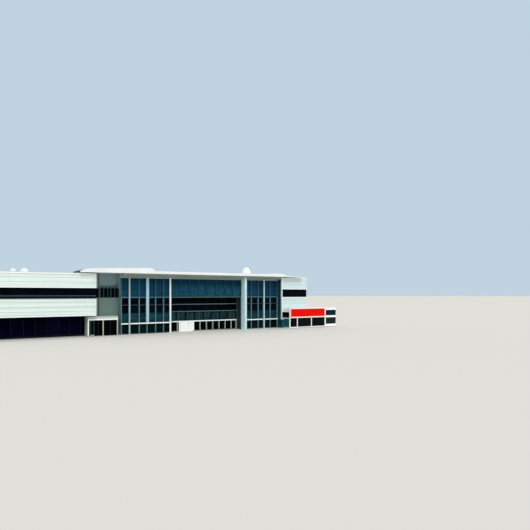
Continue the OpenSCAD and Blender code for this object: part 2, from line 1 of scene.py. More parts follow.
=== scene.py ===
# %% [markdown]
# # An airport terminal building at 1:10
#
# The real building is a long airport front: a tall hall of tinted glass under a thin white
# roof, a white panelled wing at each side, a small entrance porch and a low pavilion with a
# bare red fascia. The solids are loaded first and stay where they are. Everything below gives
# them their finishes, and adds the panes, bars, linings and trims that are too fine for solids.

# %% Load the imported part
import json
import math

import bpy
import numpy as np
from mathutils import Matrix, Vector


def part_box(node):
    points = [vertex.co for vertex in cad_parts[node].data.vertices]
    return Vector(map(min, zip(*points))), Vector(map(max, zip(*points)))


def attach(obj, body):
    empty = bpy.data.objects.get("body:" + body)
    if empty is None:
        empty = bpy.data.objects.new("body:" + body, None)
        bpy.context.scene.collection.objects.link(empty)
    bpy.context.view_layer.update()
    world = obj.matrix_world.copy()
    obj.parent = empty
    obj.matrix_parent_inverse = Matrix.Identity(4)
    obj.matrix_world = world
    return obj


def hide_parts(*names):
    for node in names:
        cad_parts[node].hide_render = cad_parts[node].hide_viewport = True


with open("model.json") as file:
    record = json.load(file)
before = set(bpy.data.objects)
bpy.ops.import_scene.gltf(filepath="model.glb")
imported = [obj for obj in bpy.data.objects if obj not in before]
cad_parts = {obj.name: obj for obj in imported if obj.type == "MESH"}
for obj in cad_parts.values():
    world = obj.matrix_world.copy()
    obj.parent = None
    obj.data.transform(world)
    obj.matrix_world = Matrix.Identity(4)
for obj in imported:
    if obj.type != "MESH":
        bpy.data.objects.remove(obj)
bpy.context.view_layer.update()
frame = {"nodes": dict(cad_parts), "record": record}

# %% [markdown]
# ## Where things are
#
# A builder sets out from a few grid lines. The solids already hold them, so their boxes are
# read here, and only the places of bars and rails inside the glazing are written as numbers.
# Lengths of the building are millimetres of the model, each for ten real ones. They become
# Blender's metres only when a mesh is made.

# %% Grid lines of the building
MM = 0.001
BOX = {name: np.array(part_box(name)) / MM for name in frame["nodes"]}


def span(node, axis):
    """The lowest and highest coordinate of a node along x (0), y (1) or z (2)."""
    return BOX[node][0][axis], BOX[node][1][axis]


def reach(place, low, high):
    """A pair of coordinates: the place plus the low and plus the high distance."""
    return place + low, place + high


def between(edges, gap):
    """Pairs of coordinates from each edge to the next, less a gap at both ends."""
    edges = np.asarray(edges, float)
    return np.stack([edges[:-1] + gap, edges[1:] - gap], 1)


def around(places, width):
    """Pairs of coordinates that reach half a width to both sides of each place."""
    places = np.atleast_1d(np.asarray(places, float))
    return np.stack([places - width / 2, places + width / 2], 1)


X_HALL, X_HALL_END = span("hall_glass", 0)
X_RECESS, X_RECESS_END = span("recess_glass", 0)
Y_GLASS, Y_GLASS_BACK = span("hall_glass", 1)
Y_FRAME, Y_FRAME_BACK = span("hall_upper_frame", 1)
Y_RECESS = span("recess_glass", 1)[0]
Y_RECESS_FRAME = span("recess_frame", 1)[0]
FLOOR_Z, GLASS_HEAD_Z = span("hall_glass", 2)
TRANSOM_Z = span("recess_glass", 2)[1]
BEAM_Z = span("door_head_beams", 2)
SILL_Z, HEAD_Z = span("left_wing_ribbon_glass", 2)
UPPER_Z, PARAPET_Z = span("left_wing_front_wall", 2)
X_LEFT, X_LINK = span("left_wing_front_wall", 0)
RAILS_Z = (480, 655)
BAR_W, SLIM_W = 16, 8
print("hall from", round(X_HALL), "to", round(X_HALL_END), "mm, glass head", round(GLASS_HEAD_Z))

# %% [markdown]
# ## The camera
#
# The photograph was taken from the forecourt, about 115 m in front of the left wing, with a
# short lens held level. The vanishing lines of roof and sills give the direction, the
# eye height follows from the horizon against doors, and a small shift keeps the uprights
# upright instead of tilting the camera.

# %% Set the camera
# The eye's place and how far the camera sees are in metres, the film and the lens in millimetres
IMAGE, HORIZON_ROW = 530, 294
FILM_W, LENS, CLIP = 36, 36, 600
EYE, LEVEL, HEADING = (-5.92, -12.43, 0.915), 90, -35.8
camera_data = bpy.data.cameras.new("camera")
camera_data.sensor_width, camera_data.lens, camera_data.clip_end = FILM_W, LENS, CLIP
camera_data.shift_y = (HORIZON_ROW - IMAGE / 2) / IMAGE
camera = bpy.data.objects.new("camera", camera_data)
camera.location = EYE
camera.rotation_euler = (math.radians(LEVEL), 0, math.radians(HEADING))
bpy.context.scene.collection.objects.link(camera)
bpy.context.scene.camera = camera
print("camera shift", round(camera_data.shift_y, 4))

# %% [markdown]
# ## Nodes for materials
#
# A procedural material is a small graph: coordinates go into patterns, patterns say how much of
# each colour shows, and the mixed colour goes into one shader. Four helpers keep every graph
# short: one turns a colour as a paint chart gives it into linear light, one feeds a node's
# inputs, one adds a node with its settings and links, and one starts a material.

# %% Colour and node helpers
def linear(hex_colour):
    """sRGB to linear: small values are divided by 12.92, the others go through a 2.4 power."""
    channels = np.array([int(hex_colour[i:i + 2], 16) for i in (1, 3, 5)]) / 255
    low, high = channels / 12.92, ((channels + 0.055) / 1.055) ** 2.4
    return (*np.where(channels <= 0.04045, low, high), 1.0)


def feed(tree, node, inputs):
    """Feeds a node's inputs, by name or in order. A socket, or the first output in use of a
    node, is linked. A hex colour is turned to linear, and other values are set as they are."""
    for key, value in inputs.items() if isinstance(inputs, dict) else enumerate(inputs):
        if isinstance(value, bpy.types.Node):
            value = next(socket for socket in value.outputs if socket.enabled)
        if isinstance(value, bpy.types.NodeSocket):
            tree.links.new(value, node.inputs[key])
        else:
            node.inputs[key].default_value = linear(value) if isinstance(value, str) else value


def add(tree, kind, inputs=(), **settings):
    """Adds one node. Settings are its properties, and inputs are fed as above."""
    node = tree.nodes.new("ShaderNode" + kind)
    for key, value in settings.items():
        setattr(node, key, value)
    feed(tree, node, inputs)
    return node


def new_material(name):
    """An empty material with its node tree, shader and object coordinates."""
    material = bpy.data.materials.new(name)
    material.use_nodes = True
    tree = material.node_tree
    tree.nodes.clear()
    shader = add(tree, "BsdfPrincipled")
    add(tree, "OutputMaterial", {"Surface": shader})
    return material, tree, shader, add(tree, "TexCoord").outputs["Object"]


print("paint white in linear light:", np.round(linear("#e6f3ec")[:3], 3))

# %% [markdown]
# ## Painted metal
#
# Wall panels, roof edges, posts and trims are aluminium or steel with a baked coat of paint.
# Such a coat is even, and what the eye finds in it is weather: rain draws faint grey streaks
# down from each joint, and broad patches differ by a shade. Long level panels also tilt a
# little against each other, so each course takes the light a touch differently; this is painted
# shade, each course mixed a little towards the dirt's colour. All of it is noise, stretched along
# Z for the streaks and along X for the courses. A fine bump stands for the slight waviness of
# thin sheet. On the back and the ends the joints between the panels are part of the paint: level
# ones at each course height, upright ones at each panel length.

# %% Painted metal
PANEL_H, PANEL_L, SHEET_JOINT_W = 94, 650, 4
# Repeats in a metre: streaks are 25 mm wide and 400 mm long, courses 42 mm high, patches a
# third of a metre and ripples 45 mm
STREAKS, COURSES, PATCHES, RIPPLES = (40, 40, 2.5), (0.35, 0.35, 24), 3.0, 22.0


def panel_lines(tree, place):
    """One on the level joints below the parapet's top and on the upright joints along x plus
    y, where the remainder of a length divided by the panel's size is near zero, else zero."""
    axes = add(tree, "SeparateXYZ", [place]).outputs
    down = add(tree, "Math", (PARAPET_Z * MM, axes["Z"]), operation="SUBTRACT")
    along = add(tree, "Math", (axes["X"], axes["Y"]), operation="ADD")
    lines = []
    for run, size in ((down, PANEL_H), (along, PANEL_L)):
        part = add(tree, "Math", (run, size * MM), operation="FLOORED_MODULO")
        lines.append(add(tree, "Math", (part, SHEET_JOINT_W * MM), operation="LESS_THAN"))
    return add(tree, "Math", lines, operation="MAXIMUM")


def painted(name, colour, dirt, rough=0.5, streak=0.05, patch=0.05, course=0.0, shine=0.3,
            painted_light_above=None, joints=None):
    """Paint: a base colour mixed with dirt by streaks and by broad patches, and by level courses
    as a painted shade of panels that tilt against each other.
    Each pattern begins to show at one value of its noise and is strongest at a second one.
    Above a height the base may change evenly to a lighter second colour, painted light that
    lifts the roof's shadow on a wall's upper part, and joints may cross it in a colour of their
    own."""
    material, tree, shader, place = new_material(name)
    patches = add(tree, "TexNoise", {"Vector": place, "Scale": PATCHES, "Detail": 2.0})
    dirt_and_course_shade = add(tree, "MapRange", (patches, 0.35, 0.7, 0.0, patch))
    # The courses' share darkens each course a little: painted shade of panels that tilt
    for scale, detail, start, end, most in ((STREAKS, 4.0, 0.5, 0.8, streak),
                                            (COURSES, 2.0, 0.45, 0.7, course)):
        drawn = add(tree, "Mapping", {"Vector": place, "Scale": scale})
        noise = add(tree, "TexNoise", {"Vector": drawn, "Scale": 1.0, "Detail": detail})
        share = add(tree, "MapRange", (noise, start, end, 0.0, most))
        dirt_and_course_shade = add(tree, "Math", (dirt_and_course_shade, share), operation="ADD", use_clamp=True)
    base = colour
    if painted_light_above is not None:
        height = add(tree, "SeparateXYZ", [place]).outputs["Z"]
        high = add(tree, "MapRange", (height, painted_light_above[1] * MM, painted_light_above[2] * MM, 0.0, 1.0))
        base = add(tree, "Mix", {"Factor": high, "A": colour, "B": painted_light_above[0]}, data_type="RGBA")
    finish = add(tree, "Mix", {"Factor": dirt_and_course_shade, "A": base, "B": dirt}, data_type="RGBA")
    if joints is not None:
        line = panel_lines(tree, place)
        finish = add(tree, "Mix", {"Factor": line, "A": finish, "B": joints}, data_type="RGBA")
    ripples = add(tree, "TexNoise", {"Vector": place, "Scale": RIPPLES, "Detail": 1.0})
    feed(tree, shader, {
        "Base Color": finish, "Specular IOR Level": shine,
        "Roughness": add(tree, "MapRange", (patches, 0.3, 0.7, rough - 0.06, rough + 0.08)),
        "Normal": add(tree, "Bump", {"Height": ripples, "Strength": 0.12, "Distance": 0.002})})
    return material


print("panels of", PANEL_L, "by", PANEL_H, "mm")

# %% [markdown]
# ## The paint chart
#
# Each entry gives a coat's colour, the colour of the dirt on it and what is special about it.
# The wings' white is a little green and the right wing's bluish, as the photograph shows them.
# Glossier coats have a lower roughness, and a coat in deep shade hardly shines. Bare galvanised
# sheet and roof membrane are on the chart too, as dull coats with strong patches.

# %% Mix the paints
PAINT_CHART = {
    "wing panel": ("#e6f6f0", "#c3d3cb", dict(course=0.5)),
    "cool panel": ("#d6e8eb", "#b7cbd0", dict(course=0.4)),
    "back panel": ("#e3f2ec", "#c3d3cb", dict(course=0.25, streak=0.12, joints="#a9b8b1")),
    "cool end panel": ("#d6e8eb", "#b7cbd0", dict(course=0.2, streak=0.12, joints="#9fb0b3")),
    "trim white": ("#fcffff", "#9aa69f", dict(streak=0.02, patch=0.02)),
    "joint": ("#b4c4bc", "#9aaaa2", {}),
    "roof white": ("#f4f7f7", "#c9d0d0", dict(streak=0.03, patch=0.25)),
    "soft joint": ("#cfdcd5", "#b4c4bc", {}),
    "cool joint": ("#c3d6d9", "#b0c5c9", {}),
    # Lighter from 800 to 1000 mm up: painted light lifting the roof's shadow on the wall
    "grey cladding": ("#778f8a", "#5a6f6d", dict(streak=0.2, patch=0.3,
                                                painted_light_above=("#90aeb1", 800, 1000))),
    "dark cladding": ("#283236", "#1d2528", {}),
    # Near black: painted shade for the shadowed end face of the roof's left tip
    "roof end": ("#1b2a2f", "#121c20", dict(shine=0.1)),
    "galvanised": ("#93a2ab", "#78868f", dict(patch=0.5)),
    "pale return": ("#a9b7ae", "#6f7c76", dict(streak=0.5)),
    "beam white": ("#f2fbfb", "#9aa69f", dict(streak=0.03, patch=0.03)),
    "post white": ("#f0f6f4", "#9aa69f", dict(streak=0.04)),
    "post ash": ("#a2bbc1", "#8f9fa3", dict(streak=0.15)),
    "post blue": ("#a6c6d6", "#87a6b6", dict(streak=0.15)),
    "post teal": ("#b4d6da", "#93b4b8", dict(streak=0.15)),
    "blade front": ("#c8ecf3", "#a6c8d0", dict(streak=0.2, patch=0.2)),
    # Paler than the blade's front: painted light that lifts the shade on its left side
    "blade side": ("#e4feff", "#c6e6ea", dict(streak=0.2, patch=0.2)),
    "frame teal": ("#5f8a99", "#456673", dict(rough=0.45)),
    "frame upper": ("#3a6072", "#2c4a5a", dict(rough=0.45)),
    "ribbon bar": ("#04080d", "#080e14", dict(rough=0.6, shine=0.05)),
    "transom teal": ("#53808c", "#3d626d", dict(rough=0.45)),
    "frame dark": ("#12191e", "#1d252a", dict(rough=0.45)),
    "frame navy": ("#070d18", "#0b1320", dict(shine=0.08)),
    "slim bar": ("#275b70", "#1f4c5f", dict(shine=0.1)),
    "rail plum": ("#3a3742", "#2a2833", dict(rough=0.45)),
    "rail grey": ("#878a90", "#5d6068", dict(rough=0.45)),
    "rail teal": ("#63797d", "#43585d", dict(rough=0.45)),
    "rail slate": ("#38444f", "#2b3540", dict(rough=0.45)),
    "sill dark": ("#1a272e", "#141e24", dict(shine=0.1)),
    "fin grey": ("#2b3a41", "#202c32", {}),
    "fin shade": ("#43565a", "#303f43", {}),
    "grey return": ("#4c585b", "#384346", {}),
    "post grey": ("#b3bab4", "#8f978f", dict(streak=0.15)),
    "membrane lap": ("#969c97", "#767c77", dict(rough=0.85, patch=0.4)),
    "soffit": ("#9faaa2", "#828d82", dict(streak=0.0, patch=0.4, shine=0.1)),
    "flashing": ("#b9c0b8", "#949b92", {}),
    "porch grey": ("#bcc7c4", "#98a4a0", dict(streak=0.2)),
    "door grey": ("#2b353a", "#20282c", dict(rough=0.4)),
    "red board": ("#e80c06", "#c20b07", dict(rough=0.55, shine=0.06)),
    "red trim": ("#fff0ec", "#f6c8c0", dict(patch=0.3)),
    "membrane": ("#a7ada8", "#7f8580", dict(rough=0.85, patch=0.5)),
    "louvre": ("#2c3533", "#1e2524", dict(rough=0.6)),
}
PAINT = {key: painted(key.replace(" ", "_") + "_coat", colour, dirt, **special)
         for key, (colour, dirt, special) in PAINT_CHART.items()}
print(len(PAINT), "paints")

# %% [markdown]
# ## Tinted glass
#
# Solar-control glass is dark by day: it takes in most of the light and sends back a little,
# tinted by its coating. Here a pane is an opaque deep colour with a smooth surface. Each pane
# leans a little lighter or darker than its neighbour, as float glass from different batches
# does, soft level bands are painted reflections of what it mirrors, and a painted shade darkens
# tall glass towards its head, under the roof's overhang.

# %% Tinted glass
def tinted(name, dark, light, mirror, bands=0.6, painted_shade_z=None, grain=(0.8, 0.8, 14)):
    """Glass: dark to light by each pane's tone and by level bands of painted reflection, and
    darker towards a height by a painted shade under the roof. The grain gives the bands a metre
    along x,
    y and z: at 14, each is about 70 mm high."""
    material, tree, shader, place = new_material(name)
    drawn = add(tree, "Mapping", {"Vector": place, "Scale": grain})
    cloud = add(tree, "TexNoise", {"Vector": drawn, "Scale": 1.0, "Detail": 3.0})
    tone = add(tree, "Attribute", attribute_name="tone").outputs["Fac"]
    soft = add(tree, "MapRange", (cloud, 0.4, 0.7, 0.0, bands))
    factor = add(tree, "Math", (tone, soft), operation="ADD", use_clamp=True)
    # From the given heights up the glass is darkened: a painted shade under the roof's overhang
    if painted_shade_z is not None:
        height = add(tree, "SeparateXYZ", [place]).outputs["Z"]
        keep = add(tree, "MapRange", (height, painted_shade_z[0] * MM, painted_shade_z[1] * MM, 1.0, 0.1))
        factor = add(tree, "Math", (factor, keep), operation="MULTIPLY")
    colour = add(tree, "Mix", {"Factor": factor, "A": dark, "B": light}, data_type="RGBA")
    feed(tree, shader, {"Base Color": colour, "Roughness": 0.08, "IOR": 1.52,
                        "Specular IOR Level": 0.15, "Specular Tint": mirror})
    return material


print("glass is drawn by tone, by bands and by height")

# %% [markdown]
# ## The glass chart
#
# Each entry gives a glass at its darkest and lightest, its mirror's tint and what is special
# about it. The hall's upper glass is teal. The ribbons and the doors' glass are nearly black,
# because the rooms behind them are unlit.

# %% Mix the glass
MIDDLE_SHADE_Z = TRANSOM_Z + 220
GLASS_CHART = {
    "upper": ("#0d3550", "#215367", "#3f7f93", dict(bands=0.8, painted_shade_z=(TRANSOM_Z, GLASS_HEAD_Z))),
    "middle": ("#0c3247", "#2a667b", "#3f7f93", dict(bands=0.8, grain=(12, 12, 60),
               painted_shade_z=(MIDDLE_SHADE_Z, MIDDLE_SHADE_Z + 140))),
    "dark": ("#01060c", "#0a1c2a", "#1a3446", dict(bands=0.5)),
    "low": ("#0e2730", "#235059", "#2c5a60", dict(grain=(3, 3, 14))),
    "door": ("#020c0d", "#0b2724", "#18302c", dict(bands=0.5)),
    "recess low": ("#081b20", "#284b4f", "#2c5a60", dict(bands=1.0, grain=(36, 36, 3))),
    "recess door": ("#010303", "#050d0c", "#0e1c1a", {}),
    "ribbon": ("#01050a", "#06121c", "#1a2e40", dict(bands=0.5)),
    "ribbon low": ("#071318", "#10222a", "#1a2e40", dict(bands=0.4)),
    "wing ground": ("#02020f", "#090c2b", "#161d3c", dict(bands=0.4)),
    "end room": ("#04101c", "#0d263d", "#2b4a68", {}),
    "end screen": ("#0b1214", "#222e31", "#2b383c", {}),
    "teal": ("#1b4350", "#356b7c", "#2b6470", {}),
    "black": ("#020506", "#0a1214", "#122022", {}),
}
GLASS = {key: tinted(key.replace(" ", "_") + "_glass", dark, light, mirror, **special)
         for key, (dark, light, mirror, special) in GLASS_CHART.items()}
print(len(GLASS), "kinds of glass")

# %% [markdown]
# ## Concrete
#
# Floors and slabs are cast concrete: grey, a little cloudy, with a grain of sand. The clouds
# are broad noise, 250 mm across. The sand is a fine bump with grains of 6 mm, drawn coarser
# than real sand so that it shows.

# %% Concrete
CONCRETE, tree, shader, place = new_material("cast_concrete")
cloud = add(tree, "TexNoise", {"Vector": place, "Scale": 4.0, "Detail": 6.0})
sand = add(tree, "TexNoise", {"Vector": place, "Scale": 160.0, "Detail": 2.0})
feed(tree, shader, {
    "Base Color": add(tree, "Mix", {"Factor": cloud, "A": "#a9aaa5", "B": "#8b8d88"},
                      data_type="RGBA"),
    "Roughness": 0.8,
    "Normal": add(tree, "Bump", {"Height": sand, "Strength": 0.4, "Distance": 0.001})})
FINISH = {**PAINT, **GLASS, "concrete": CONCRETE}
print(len(FINISH), "finishes")

# %% [markdown]
# ## Finishes on the solids
#
# Every solid that stays in view gets the finish that its slot names. A few nodes of one slot
# have their own shade in the photograph, so they are listed by name and win over the slot.

# %% Give each node its finish
BY_SLOT = {
    "white_panel": "wing panel", "roof_white": "roof white", "grey_cladding": "grey cladding",
    "floor_concrete": "concrete", "roof_membrane": "membrane", "frame_metal": "frame teal",
    "white_steel": "post white", "dark_glass": "ribbon", "hall_glass": "upper",
    "door_leaf": "door grey", "red_board": "red board", "pale_trim": "red trim",
}
BY_NODE = {
    "right_wing_front_wall": "cool panel", "right_wing_end_wall": "cool end panel",
    "left_wing_end_wall": "back panel", "left_wing_back_wall": "back panel",
    "hall_back_wall": "back panel", "right_wing_back_wall": "cool end panel",
    "end_room_front": "trim white", "pavilion_walls": "trim white",
    "pavilion_posts": "trim white", "pavilion_roof": "trim white",
    "recess_side_walls": "dark cladding", "porch_side_wall": "pale return",
    "left_wing_ground_frame": "frame navy", "door_head_beams": "beam white",
    "recess_ceiling": "dark cladding", "porch_roof": "porch grey",
    "blade_column": "blade front", "service_block": "trim white",
    "right_wing_side_glass": "teal", "porch_glass": "recess door",
}
for part in frame["record"]["subparts"]:
    materials = frame["nodes"][part["node"]].data.materials
    materials.clear()
    materials.append(FINISH[BY_NODE.get(part["node"], BY_SLOT[part["material_slot"]])])

# %% [markdown]
# ## Bars, panes and boards
#
# Most of what a facade adds is bars, panes and boards: straight pieces whose edges are eased
# by a small chamfer. A box with all its edges cut back has three points at each corner, one
# for each face that meets there. Worked out as arrays, one mesh holds any number of them.

# %% Chamfered boxes as arrays
CORNERS = np.array([[i >> 2 & 1, i >> 1 & 1, i & 1] for i in range(8)])


def corner(axis, s, u, v):
    """Number of the corner on side s of an axis and sides u and v of the next two."""
    bits = [0, 0, 0]
    bits[axis], bits[(axis + 1) % 3], bits[(axis + 2) % 3] = s, u, v
    return bits[0] * 4 + bits[1] * 2 + bits[2]


def box_faces():
    """Faces of one chamfered box: 6 sides and 12 edges of four points, 8 corners of three."""
    quads, tris = [], []
    for axis in range(3):
        a, b = (axis + 1) % 3, (axis + 2) % 3
        for s in (0, 1):
            ring = [corner(axis, s, u, v) * 3 + axis for u, v in ((0, 0), (1, 0), (1, 1), (0, 1))]
            quads.append(ring if s else ring[::-1])
            for t in (0, 1):
                ends = [corner(axis, k, s, t) * 3 for k in (0, 1)]
                edge = [ends[0] + a, ends[1] + a, ends[1] + b, ends[0] + b]
                quads.append(edge[::-1] if s == t else edge)
    for i, bits in enumerate(CORNERS):
        tri = [3 * i, 3 * i + 1, 3 * i + 2]
        tris.append(tri if bits.sum() % 2 else tri[::-1])
    return np.array(quads), np.array(tris)


QUADS, TRIS = box_faces()
print(len(QUADS) + len(TRIS), "faces a box")

# %% [markdown]
# ## Pieces in place
#
# A fitter is told where a bar starts and ends along the building, in depth and in height. The
# same three ranges make a piece here, and a row of ranges makes several bars in one mesh. Each
# piece is then told which body it rides on and, where it stands for a plain solid, which one
# that is.

# %% Put pieces in place
def show(name, points, faces, finish, node=None, tones=None, body="building"):
    """Puts points and faces into a mesh that rides on a body and may stand in for a node of
    the solids. A pane of glass has a tone for each point."""
    mesh = bpy.data.meshes.new(name)
    mesh.from_pydata((np.asarray(points) * MM).tolist(), [], faces)
    mesh.update()
    if tones is not None:
        layer = mesh.attributes.new("tone", "FLOAT", "POINT")
        layer.data.foreach_set("value", np.asarray(tones, np.float32))
    mesh.materials.append(FINISH[finish])
    obj = bpy.data.objects.new(name, mesh)
    bpy.context.scene.collection.objects.link(obj)
    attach(obj, body)
    if node is not None:
        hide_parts(node)
    print(name, len(faces), "faces")
    return obj


def bars(name, xs, ys, zs, finish, chamfer=1.5, slot="frame_metal", node=None, tones=None,
         body="building"):
    """Chamfered boxes from ranges, each a pair of coordinates or a row of pairs. A point of
    corner c for face a is the corner, moved inwards by the chamfer along the two axes other
    than a."""
    pairs = [np.atleast_2d(np.asarray(v, float)) for v in (xs, ys, zs)]
    count = max(len(p) for p in pairs)
    low, high = np.stack([np.broadcast_to(p, (count, 2)) for p in pairs], 2).swapaxes(0, 1)
    corners = np.where(CORNERS[None], high[:, None], low[:, None])
    inward = (1 - 2 * CORNERS)[None, :, None, :] * (1 - np.eye(3))[None, None] * chamfer
    points = (corners[:, :, None, :] + inward).reshape(-1, 3)
    start = 24 * np.arange(count)[:, None, None]
    faces = (QUADS + start).reshape(-1, 4).tolist() + (TRIS + start).reshape(-1, 3).tolist()
    tones = None if tones is None else np.repeat(tones, 24)
    return show(name, points, faces, finish, node, tones, body)


def bar_set(slot, node, *rows):
    """Several meshes of bars. The slot is passed on to bars, which does not use it. Each row has a
    name, the ranges along x, y and z, the finish and, where it isn't the usual one, the chamfer."""
    for row in rows:
        bars(*row, slot=slot, node=node)


print("pieces are made in millimetres, and each takes one finish")

# %% [markdown]
# ## The hall's glass
#
# The hall is a curtain wall: bars at chosen places, and panes between them in bands. The upper
# panes are teal, those in front of the upper floor nearly black, and the lower ones teal again.
# The solids have one sheet for the hall's front and one for its set-back stretch, so panes of
# each band take their places here.

# %% Hang the hall's panes
LEFT_BARS = np.array([0, 188, 430, 618, 830, 1030, 1188, 1230])
RIGHT_BARS = np.array([1180, 860, 640, 470, 248, 0])
RECESS_BAYS = 8
COLUMN_PLACES = np.array([188, 618, 1188])
RIGHT_COLUMN_IN = 470
GAP = 3
rng = np.random.default_rng(7)


def panes(name, runs, levels, y, glass, node, slot="dark_glass", spread=0.35):
    """Panes between the upright edges of each run and the level edges, less a gap all round,
    with tones from zero to the spread."""
    xs, zs = np.concatenate([between(run, GAP) for run in runs]), between(levels, GAP)
    bars(name, np.repeat(xs, len(zs), 0), y, np.tile(zs, (len(xs), 1)), glass, slot=slot,
         node=node, tones=rng.uniform(0, spread, len(xs) * len(zs)))


left, right = X_HALL + LEFT_BARS, X_HALL_END - RIGHT_BARS
middle = np.linspace(X_RECESS, X_RECESS_END, RECESS_BAYS + 1)
high_band = [TRANSOM_Z, GLASS_HEAD_Z]
dark_band = [*RAILS_Z, TRANSOM_Z]
low_band = [BEAM_Z[1], RAILS_Z[0]]
door_band = [FLOOR_Z, BEAM_Z[0]]
for name, runs, levels, glass, spread in (
        ("upper_panes", (left, right), high_band, "upper", 0.35),
        ("middle_panes", [middle], high_band, "middle", 0.15),
        ("floor_edge_panes", (left, right), dark_band, "dark", 0.35),
        ("lower_panes", (left, right), low_band, "low", 0.35),
        ("doorway_panes", (left, right), door_band, "door", 0.35)):
    panes(name, runs, levels, (Y_GLASS, Y_GLASS_BACK), glass, "hall_glass", "hall_glass", spread)
for name, levels, glass in (("dark", dark_band, "dark"), ("low", low_band, "recess low"),
                            ("door", door_band, "recess door")):
    panes("recess_%s_panes" % name, [middle], levels, span("recess_glass", 1), glass,
          "recess_glass")

# %% [markdown]
# ## The hall's bars
#
# Each bar is a hollow aluminium section with eased edges. Those beside the doors are blue-green,
# the slim ones over the set-back stretch hardly show, and the level one that caps the upper
# floor is lighter than those above it. They take the places of the solids' plain bars, and where
# two cross, one lies two millimetres behind the other, because faces in one plane would flicker.
# The outermost bars stand half a bar in. Below the transom none stands behind the bright column.

# %% Set the hall's bars
frame_y, rail_y = (Y_FRAME, Y_FRAME_BACK), (Y_FRAME + 2, Y_FRAME_BACK - 1)
whole = (X_HALL, X_HALL_END)
sides = [(X_HALL + 1, X_RECESS), (X_RECESS_END, X_HALL_END - 1)]
recess_x = (X_RECESS, X_RECESS_END)
upper_z = (TRANSOM_Z, GLASS_HEAD_Z)
left_in = LEFT_BARS[LEFT_BARS != COLUMN_PLACES[2]].clip(BAR_W / 2, LEFT_BARS[-1] - BAR_W / 2)
right_in = RIGHT_BARS.clip(BAR_W / 2, RIGHT_BARS[0] - BAR_W / 2)
lower_places = np.concatenate([X_HALL + left_in, X_HALL_END - right_in])
upper_places = np.append(lower_places, X_HALL + COLUMN_PLACES[2])
bar_set("frame_metal", "hall_upper_frame",
        ("upper_mullions", around(upper_places, BAR_W), frame_y, upper_z, "frame upper"),
        ("slim_mullions", around(middle[1:-1], SLIM_W), rail_y, upper_z, "slim bar"),
        ("head_rail", (X_HALL + 1, X_HALL_END - 1), rail_y, reach(GLASS_HEAD_Z, -BAR_W, 0),
         "frame upper"),
        ("side_transoms", sides, rail_y, reach(TRANSOM_Z, 0, BAR_W), "transom teal"),
        ("recess_transom", recess_x, frame_y, reach(TRANSOM_Z, 0, BAR_W), "rail teal"))
bar_set("frame_metal", "hall_lower_frames",
        ("lower_mullions", around(lower_places, BAR_W), frame_y, (FLOOR_Z, TRANSOM_Z),
         "frame teal"),
        ("spandrel_rails", sides, rail_y, reach(RAILS_Z[1], 0, BAR_W), "rail plum"),
        ("door_head_rails", sides, rail_y, reach(BEAM_Z[0], 0, BAR_W), "frame dark"),
        ("sill_rails", sides, rail_y, reach(FLOOR_Z, 0, BAR_W), "frame dark"),
        ("floor_edge_rails", sides, rail_y, reach(TRANSOM_Z, -BAR_W, 0), "frame dark"))

# %% [markdown]
# ## The set-back stretch
#
# Under the upper glazing the wall steps back. Slim dark bars divide its glass and two level rails
# cross it. Pale grey posts stand between the doors, and a white jamb closes the row beside the
# white service block.

# %% Set the recess's bars and posts
recess_frame_y = (Y_RECESS_FRAME, Y_RECESS)
recess_behind_y = (Y_RECESS_FRAME + 3, Y_RECESS + 1)
BLOCK_LOW, BLOCK_HIGH = BOX["service_block"]
POST_W, SCREEN_L, BLOCK_GAP, DOORS = 16, 270, 18, 7
door_places = np.linspace(BLOCK_HIGH[0] + BLOCK_GAP, X_RECESS_END, DOORS + 1)
door_places = np.minimum(door_places + 1.6 * POST_W, X_RECESS_END - POST_W / 2)
post_places = np.concatenate([[X_RECESS + POST_W / 2, X_RECESS + SCREEN_L], door_places])
inner_places = np.linspace(X_RECESS + BAR_W / 2, X_RECESS_END - BAR_W / 2, RECESS_BAYS + 1)
bar_set("frame_metal", "recess_frame",
        ("recess_bars", around(inner_places, SLIM_W), recess_behind_y, (BEAM_Z[0], TRANSOM_Z),
         "ribbon bar"),
        ("recess_posts", around(post_places, POST_W), recess_frame_y, (FLOOR_Z, BEAM_Z[0]),
         "post grey", 2),
        ("recess_jamb", (BLOCK_HIGH[0] + 1, door_places[0] + POST_W / 2 + 3),
         (Y_RECESS_FRAME - 2, Y_RECESS), (FLOOR_Z, BEAM_Z[0] - 1), "trim white", 1),
        ("recess_high_rail", recess_x, recess_frame_y, reach(RAILS_Z[1], 0, BAR_W), "rail grey"),
        ("recess_low_rail", recess_x, recess_frame_y, reach(RAILS_Z[0], 0, BAR_W), "rail teal"),
        ("recess_head", recess_x, recess_behind_y, reach(TRANSOM_Z, -BAR_W, -1), "frame dark"),
        ("recess_sill", recess_x, recess_behind_y, reach(FLOOR_Z, 0, BAR_W - 1), "frame dark"),
        ("recess_door_head", recess_x, recess_behind_y, reach(BEAM_Z[0], 0, BAR_W - 1),
         "frame dark"))

# %% [markdown]
# ## Columns
#
# The tall columns are painted steel boxes that run up to the sloping soffit. The photograph
# shows each in its own shade: the first ash grey, the broad one on the beam bluish, the one
# beside the set-back stretch bright white and the one on the right pale teal. Those that reach
# the ground stand on flat base plates. The deep blade column's left side has a paler sheet:
# painted light, which lifts the shade on that side against its front.

# %% Raise the columns
ROOF_LOW, ROOF_HIGH = BOX["hall_roof"]
COLUMN_W, BROAD_W, PLATE_W, PLATE_D, PLATE_T = 32, 66, 50, 41, 6
ROOF_Z = 1375
OVERHANG = Y_FRAME - ROOF_LOW[1]


def eaves_z(y):
    """Height of the sloping soffit: it rises evenly from the head of the glass to the edge."""
    return GLASS_HEAD_Z + (ROOF_Z - GLASS_HEAD_Z) * (Y_FRAME - y) / OVERHANG


